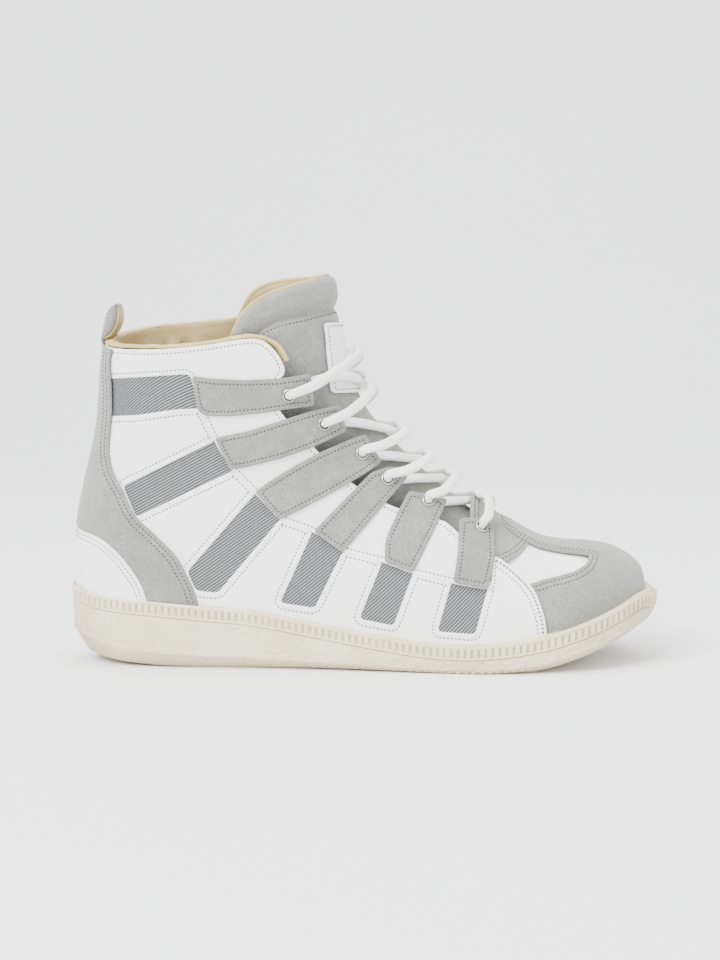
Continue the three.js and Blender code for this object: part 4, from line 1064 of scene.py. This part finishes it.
tube("tongue_edge_piping", path, out, 0.9, 1.1, PIPING_MAT, sides=14, body="tongue",
     replaces=["tongue_piping"])
label_area = both(outline([[-17, 134], [17, 134], [17, 168.5], [-17, 168.5]], 2.0, "yz"), lambda P: -30 - P[..., 0])
panel("tongue_label_patch", LABEL, label_area, D_TONGUE + 1.7, 0.8, wide=TONGUE_EASE, body="tongue", edge=0.3,
      spacing=0.7, relief=creased(8, 0.15, 73), rows=[(label_area, 1.6, "white")],
      replaces=["tongue_label"])

# ---------------------------------------------------------------- lace
LACE = 3.6
UNDER, OVER = D_TONGUE + GAP + LACE / 2 + 0.2, D_SUEDE + GAP + LACE / 2 + 2.3
LOW = D_TONGUE + 2 * GAP + 1.2 + LACE / 2
HIGH = LOW + LACE + GAP + 0.3
SPOTS = [tuple(float(a[0]) for a in locate(np.array([x]), np.array([z]))) for x, z in EYELETS]


def share_across(v):
    """Share of the way from the front line to the back or bottom at v."""
    return (1 - math.cos(math.pi * v)) / 2


def lace_point(side, s, t, d):
    """A point from station and t, with its outward direction and how free of the holes it is."""
    v = np.arccos(1 - 2 * np.clip(t, 0, 1)) / np.pi * (1 if side > 0 else -1)
    v = v if abs(v) > 1e-4 else 1e-4 * side
    n = normals(skin, np.array([s]), np.array([v]), 0.0)[0]
    if n[0] * 0.4 + n[2] * 0.6 + abs(n[1]) * 0.2 < 0 and n[1] * side < 0:
        n = -n
    return np.r_[skin(np.array([s]), np.array([v]), d)[0], n, 1.0]


def at_eyelet(side, k, d, ds=0.0, dt=0.0, free=0.0):
    s, v = SPOTS[k]
    t = share_across(v)
    base = lace_point(side, s, t, 0)
    n = outward(side, base[3:6])
    p = lace_point(side, s + ds, t + dt, 0)
    return np.r_[p[:3] + n * d, n, free]


def crossing(side, k, middle_height):
    s0, v0 = SPOTS[k]
    t0 = share_across(v0)
    if k:
        s1, t1 = SPOTS[k - 1][0], share_across(SPOTS[k - 1][1])
    else:
        s1, t1 = s0 + 0.55, t0 * 0.8
    dip = (2.7, 2.4, 2.0, 1.6, 1.2, 0.7)[k]
    points = [at_eyelet(side, k, D_SUEDE + 1.4), at_eyelet(side, k, OVER - 0.4, 0.03, -0.004, 0.6)]
    for w in (-0.84, -0.68, -0.5, -0.3, -0.1, 0.1, 0.3, 0.45, 0.6, 0.75):
        if k == 0 and side > 0 and w > 0:
            break
        s, t = s0 + (s1 - s0) * (w + 1) / 2 - dip * (1 - w * w), (t0 if w < 0 else t1) * abs(w) ** 1.8
        end = OVER if w < 0 else UNDER
        points.append(lace_point(side if w < 0 else -side, s, t,
                                 middle_height + (end - middle_height) * float(ease(abs(w), 0.05, 0.42))))
    if k:
        points += [at_eyelet(-side, k - 1, UNDER + 1.3, free=0.3), at_eyelet(-side, k - 1, -0.6)]
    elif side > 0:
        # This end is tucked down between the other strand and the tongue.
        points.append(lace_point(-side, s0 + (s1 - s0) * 0.5 - dip - 0.35, 0.012, UNDER + 0.4))
    else:
        points.append(lace_point(-side, s1, t1, UNDER))
    return points


def lace_half(start):
    points, side = [at_eyelet(start, 5, UNDER + 1.3, free=0.3), at_eyelet(start, 5, -0.6)], start
    for k in range(5, -1, -1):
        points += crossing(side, k, HIGH if side < 0 else LOW)
        side = -side
    return points


s5, t5 = SPOTS[5][0], share_across(SPOTS[5][1])
bar = [lace_point(-1 if w < 0 else 1, s5 - 0.85 * (1 - w * w), t5 * abs(w) ** 1.8, UNDER + 0.6)
       for w in (-0.75, -0.4, 0, 0.4, 0.75)]
route = np.array(lace_half(-1)[::-1] + bar + lace_half(1))
for i in range(1, len(route)):
    if np.dot(route[i, 3:6], route[i - 1, 3:6]) < -0.2:
        route[i, 3:6] *= -1
curve = smooth_curve(route[:, :3], 0.7 * FINE)
near = [int(np.argmin(np.linalg.norm(curve - p, axis=1))) for p in route[:, :3]]
near = np.maximum.accumulate(near)
outs = np.stack([np.interp(np.arange(len(curve)), near, route[:, 3 + k]) for k in range(3)], 1)
free = np.interp(np.arange(len(curve)), near, route[:, 6])
free = np.convolve(np.pad(free, 4, mode="edge"), np.ones(9) / 9, "valid")
print("lace length %.0f mm" % np.linalg.norm(np.diff(curve, axis=0), axis=1).sum())
tube("lace_woven", curve, outs, 1.5 + 0.1 * (1 - free), 1.75 + 0.7 * free, LACE_MAT, sides=16, power=2.4,
     replaces=["lace"], sharp=180, rough=lambda P: 0.07 * noise3(P, 3.0, 81, 2)[:, None])

# ---------------------------------------------------------------- heel pull tab
# A folded leaf: centre line x and z, and half its thickness.
leaf = np.array([[-127.9, 161.1, 0.7], [-127.1, 163.0, 1.2], [-125.6, 165.4, 2.5], [-124.0, 168.6, 3.3],
                 [-123.0, 171.8, 3.6], [-122.1, 175.2, 3.1], [-120.9, 178.0, 1.8], [-120.2, 179.5, 0.7]])
path = smooth_curve(np.stack([leaf[:, 0], leaf[:, 0] * 0, leaf[:, 1]], 1), 0.5 * FINE)
half = table(leaf[:, [1, 2]], path[:, 2])
out = unit(np.gradient(path, axis=0)[:, [2, 1, 0]] * [-1, 0, 1])
half_width = 8.0 - 1.2 * ease(path[:, 2], 171, 179.5)
tube("heel_tab_suede", path, out, half, half_width, SUEDE_MAT, sides=40, power=3, body="heel_tab",
     replaces=["heel_pull_tab"], rough=lambda P: 0.15 * noise3(P, 6, 91, 2)[:, None] * np.array([1.0, 0, 0]))
inner = path - out * (half - 0.1)[:, None]
tube("heel_tab_lining", inner[3:-2], out[3:-2], 0.5, half_width[3:-2] - 0.9, PIPING_MAT, sides=28, power=4,
     body="heel_tab")
for y in (-1, 1):
    edge_line = path + out * (half * 0.8)[:, None]
    edge_line[:, 1] += y * (half_width - 1.8)
    sew(edge_line[4:-3], out[4:-3], "grey", body="heel_tab")

# ---------------------------------------------------------------- sole
PLAN = int(1440 / FINE)


def sole_line(inset):
    """Plan outline of the sole moved inwards, evenly spaced from the heel round the lateral side."""
    a = np.linspace(0, 2 * np.pi, 2881)
    x = -np.cos(a) * HALF_LENGTH
    side = np.where(a <= np.pi, -1, 1)
    f = np.where(side < 0, table(SOLE_HALF[-1], x), table(SOLE_HALF[1], x))
    y = np.maximum(f - inset * np.minimum(1, f / 20), 0)
    kx = (HALF_LENGTH - inset) / HALF_LENGTH
    return np.stack([x * kx, side * y], 1)


base = sole_line(0)
run = run_of(base)
even = np.linspace(0, run[-1], PLAN, endpoint=False)


def sole_ring(inset, height):
    """One ring of the sole: inset may vary along it, height is a function of x."""
    lines = sole_line(0), sole_line(10)
    p0, p1 = (np.stack([np.interp(even, run, line[:, k]) for k in range(2)], 1) for line in lines)
    p = p0 + (p1 - p0) * (np.broadcast_to(inset, PLAN)[:, None] / 10)
    return np.column_stack([p, height(p[:, 0])])


top_at, edge_at = sole_top, (lambda x: table(SOLE_EDGE, x))
flat_at = lambda x: np.maximum(0, np.where(x > 62, edge_at(x) - 2.4, (edge_at(x) - 5) * 0.6))


def walls(count, closed=False):
    """Faces between each ring and the next, and from the last back to the first."""
    j = np.arange(PLAN)
    q, out = (j + 1) % PLAN, []
    for i in range(count if closed else count - 1):
        a, b = i * PLAN, (i + 1) % count * PLAN
        out += np.stack([a + j, a + q, b + q, b + j], 1).tolist()
    return out


RIB, TOOTH = 3.35, 3.9
TREAD_PITCH, TREAD_DEPTH = 6.2, 0.6
turns = int(round(run[-1] / RIB))
wave = 0.5 - 0.5 * np.cos(2 * np.pi * turns * even / run[-1])
groove = 1 - np.clip(wave * 1.7, 0, 1)
rings, painted_groove_shade = [], []
# Foxing: a smooth rim, then upright ribs, then a fine line; inset, depth below the top, share of the rib groove.
for inset, down, share in (
        (1.7, 0.9, 0), (0.9, 0.15, 0), (0.35, 0.0, 0), (0.05, 0.35, 0), (0.0, 1.0, 0), (0.05, 1.6, 0),
        (0.35, 1.95, 0), (0.30, 2.15, 0.5), (0.12, 2.5, 1), (0.08, 3.4, 1), (0.08, 4.6, 1), (0.12, 5.7, 1),
        (0.3, 6.2, 0.5), (0.45, 6.45, 0), (0.3, 6.65, 0), (0.3, 6.95, 0), (0.7, 7.2, 0), (1.7, 7.2, 0)):
    ring = sole_ring(inset + 1.15 * share * groove, lambda x, d=down: top_at(x) - d)
    rings.append(ring)
    painted_groove_shade.append(groove * share)
# The groove attribute on the foxing drives painted shade in its rib grooves.
make("ribbed_foxing", np.vstack(rings), walls(len(rings), closed=True), FOXING_MAT,
     replaces=["foxing_strip"], attributes={"groove": np.concatenate(painted_groove_shade)}, sharp=55)
tooth = 0.5 - 0.5 * np.cos(2 * np.pi * int(run[-1] / TOOTH) * even / run[-1])
rings = []
forward = ease(np.interp(even, run, base[:, 0]), -112, -100)


def wall(share):
    return lambda x: edge_at(x) + 3 + (top_at(x) - 7.5 - edge_at(x) - 3) * share


pebble = lambda ring, seed: 0.45 * noise3(ring * np.array([1, 1, 1.3]), 2.6, seed, 3)
profile = [(8.9, top_at, 0), (1.9, top_at, 0), (1.7, lambda x: top_at(x) - 0.6, 0),
           (1.7, lambda x: top_at(x) - 7.2, 0), (0.9, lambda x: top_at(x) - 7.5, 0.3)]
profile += [(0.55 + 0.5 * (1 - c) * 0.3, wall(c), 1.0) for c in np.linspace(0.97, 0.0, 12)]
profile += [(0.5, lambda x: edge_at(x) + 2.2, 1.0), (0.7, lambda x: edge_at(x) + 1.5, 0.8)]
for inset, height, rough_share in profile:
    ring = sole_ring(inset, height)
    if rough_share:
        n2 = pebble(ring, 101)
        ring = sole_ring(np.maximum(inset - n2 * rough_share, 0.05), height)
    rings.append(ring)
for inset, up in ((0.75, 1.3), (1.0, 0.8), (1.5, 0.25)):
    rings.append(sole_ring(inset + 1.2 * (1 - tooth) * forward, lambda x, u=up: edge_at(x) + u))
rings.append(sole_ring(3.4, lambda x: edge_at(x) * 0.7 + flat_at(x) * 0.3))
rings.append(sole_ring(7.0, flat_at))
# Tread: shallow waves across the flat of the sole, closed from side to side.
verts = np.vstack(rings)
n, faces = PLAN, walls(len(rings))
last, across = (len(rings) - 1) * n, 48
left, right = rings[-1][1:n // 2], rings[-1][:n // 2:-1]
grid_y = np.linspace(0, 1, across + 1)[1:-1]
mid_pts = left[:, None] * (1 - grid_y[None, :, None]) + right[:, None] * grid_y[None, :, None]
waves = np.sin(2 * np.pi * (mid_pts[..., 0] / TREAD_PITCH + 0.35 * np.sin(mid_pts[..., 1] / 3.2)))
tread = np.clip(waves * 1.8, -1, 1)
mid_pts[..., 2] += TREAD_DEPTH * (1 - tread) * np.minimum(1, np.minimum(grid_y, 1 - grid_y) * 14)[None]
start = len(verts)
verts = np.vstack([verts, mid_pts.reshape(-1, 3)])
count_y = across - 1
for i in range(len(left)):
    li, ri = last + 1 + i, last + n - 1 - i
    row = [li] + [start + i * count_y + c for c in range(count_y)] + [ri]
    if i == 0:
        faces.append([last] + row[::-1])
    else:
        faces += [[prev[c], prev[c + 1], row[c + 1], row[c]] for c in range(len(row) - 1)]
    prev = row
faces.append([last + n // 2] + prev)
# The flat inside the rim, under the footbed.
for i in range(n // 2 - 1):
    a, b, c, e = i + 1, i, (n - i) % n, n - i - 1
    faces.append([b, a, e, c][::-1] if i else [b, a, e][::-1])
faces.append([n // 2 - 1, n // 2, n // 2 + 1][::-1])
make("outsole_rubber", verts, faces, RUBBER, replaces=["outsole"], sharp=50)
make_threads()

# ---------------------------------------------------------------- camera, light and floor
azimuth, pitch, roll = math.radians(5), math.radians(5.24), math.radians(-1.0)
distance_away, height_up = 980, 179.3
place = (np.array([distance_away * math.sin(azimuth), -distance_away * math.cos(azimuth), height_up]) + SHIFT) / 1000
ahead = Vector((-math.sin(azimuth) * math.cos(pitch), math.cos(azimuth) * math.cos(pitch), -math.sin(pitch)))
right = ahead.cross(Vector((0, 0, 1))).normalized()
up = right.cross(ahead)
right, up = right * math.cos(roll) + up * math.sin(roll), up * math.cos(roll) - right * math.sin(roll)
camera = bpy.data.objects.new("camera", bpy.data.cameras.new("camera"))
bpy.context.scene.collection.objects.link(camera)
camera.matrix_world = Matrix((
    (right.x, up.x, -ahead.x, place[0]), (right.y, up.y, -ahead.y, place[1]), (right.z, up.z, -ahead.z, place[2]),
    (0, 0, 0, 1)))
camera.data.lens, camera.data.sensor_width = 73.575, 36.0
camera.data.clip_start, camera.data.clip_end = 0.05, 60
bpy.context.scene.camera = camera


def light(name, kind, energy, size, at, target=(0, 0, 0.08), colour=(1, 1, 1)):
    lamp = bpy.data.objects.new(name, bpy.data.lights.new(name, kind))
    lamp.data.energy, lamp.data.color = energy, colour
    lamp.data.shape, lamp.data.size, lamp.data.size_y = "RECTANGLE", size[0], size[1]
    lamp.location = at
    lamp.rotation_euler = (Vector(target) - Vector(at)).to_track_quat("-Z", "Y").to_euler()
    bpy.context.scene.collection.objects.link(lamp)


light("key", "AREA", 125, (1.4, 1.4), (-1.0, -1.3, 1.7))
light("fill", "AREA", 24, (1.6, 1.6), (1.5, -1.2, 1.0))
light("top", "AREA", 70, (2.2, 2.2), (0.2, 0.4, 2.2))
world = bpy.data.worlds.new("studio")
world.use_nodes = True
background = next(node for node in world.node_tree.nodes if node.type == "BACKGROUND")
background.inputs["Color"].default_value = (0.80, 0.805, 0.81, 1)
background.inputs["Strength"].default_value = 2.0
bpy.context.scene.world = world
floor_finish = Nodes("floor", Specular_IOR_Level=0.2)
floor_finish.colour(floor_finish.mix(floor_finish.noise(3, 2), (0.80, 0.805, 0.815), (0.82, 0.825, 0.83)))
floor_finish.rough(0.7)
profile = [(-30.0, 0.0), (1.2, 0.0)] + [(1.2 + 1.2 * math.sin(a), 1.2 - 1.2 * math.cos(a))
                                       for a in np.linspace(0, math.pi / 2, 16)] + [(2.4, 5.0)]
verts = [(x, y, z) for y, z in profile for x in (-30, 30)]
sweep = bpy.data.meshes.new("floor")
sweep.from_pydata(verts, [], [[2 * i, 2 * i + 1, 2 * i + 3, 2 * i + 2] for i in range(len(profile) - 1)])
sweep.polygons.foreach_set("use_smooth", np.ones(len(sweep.polygons), bool))
sweep.materials.append(floor_finish.mat)
floor = bpy.data.objects.new("floor", sweep)
bpy.context.scene.collection.objects.link(floor)
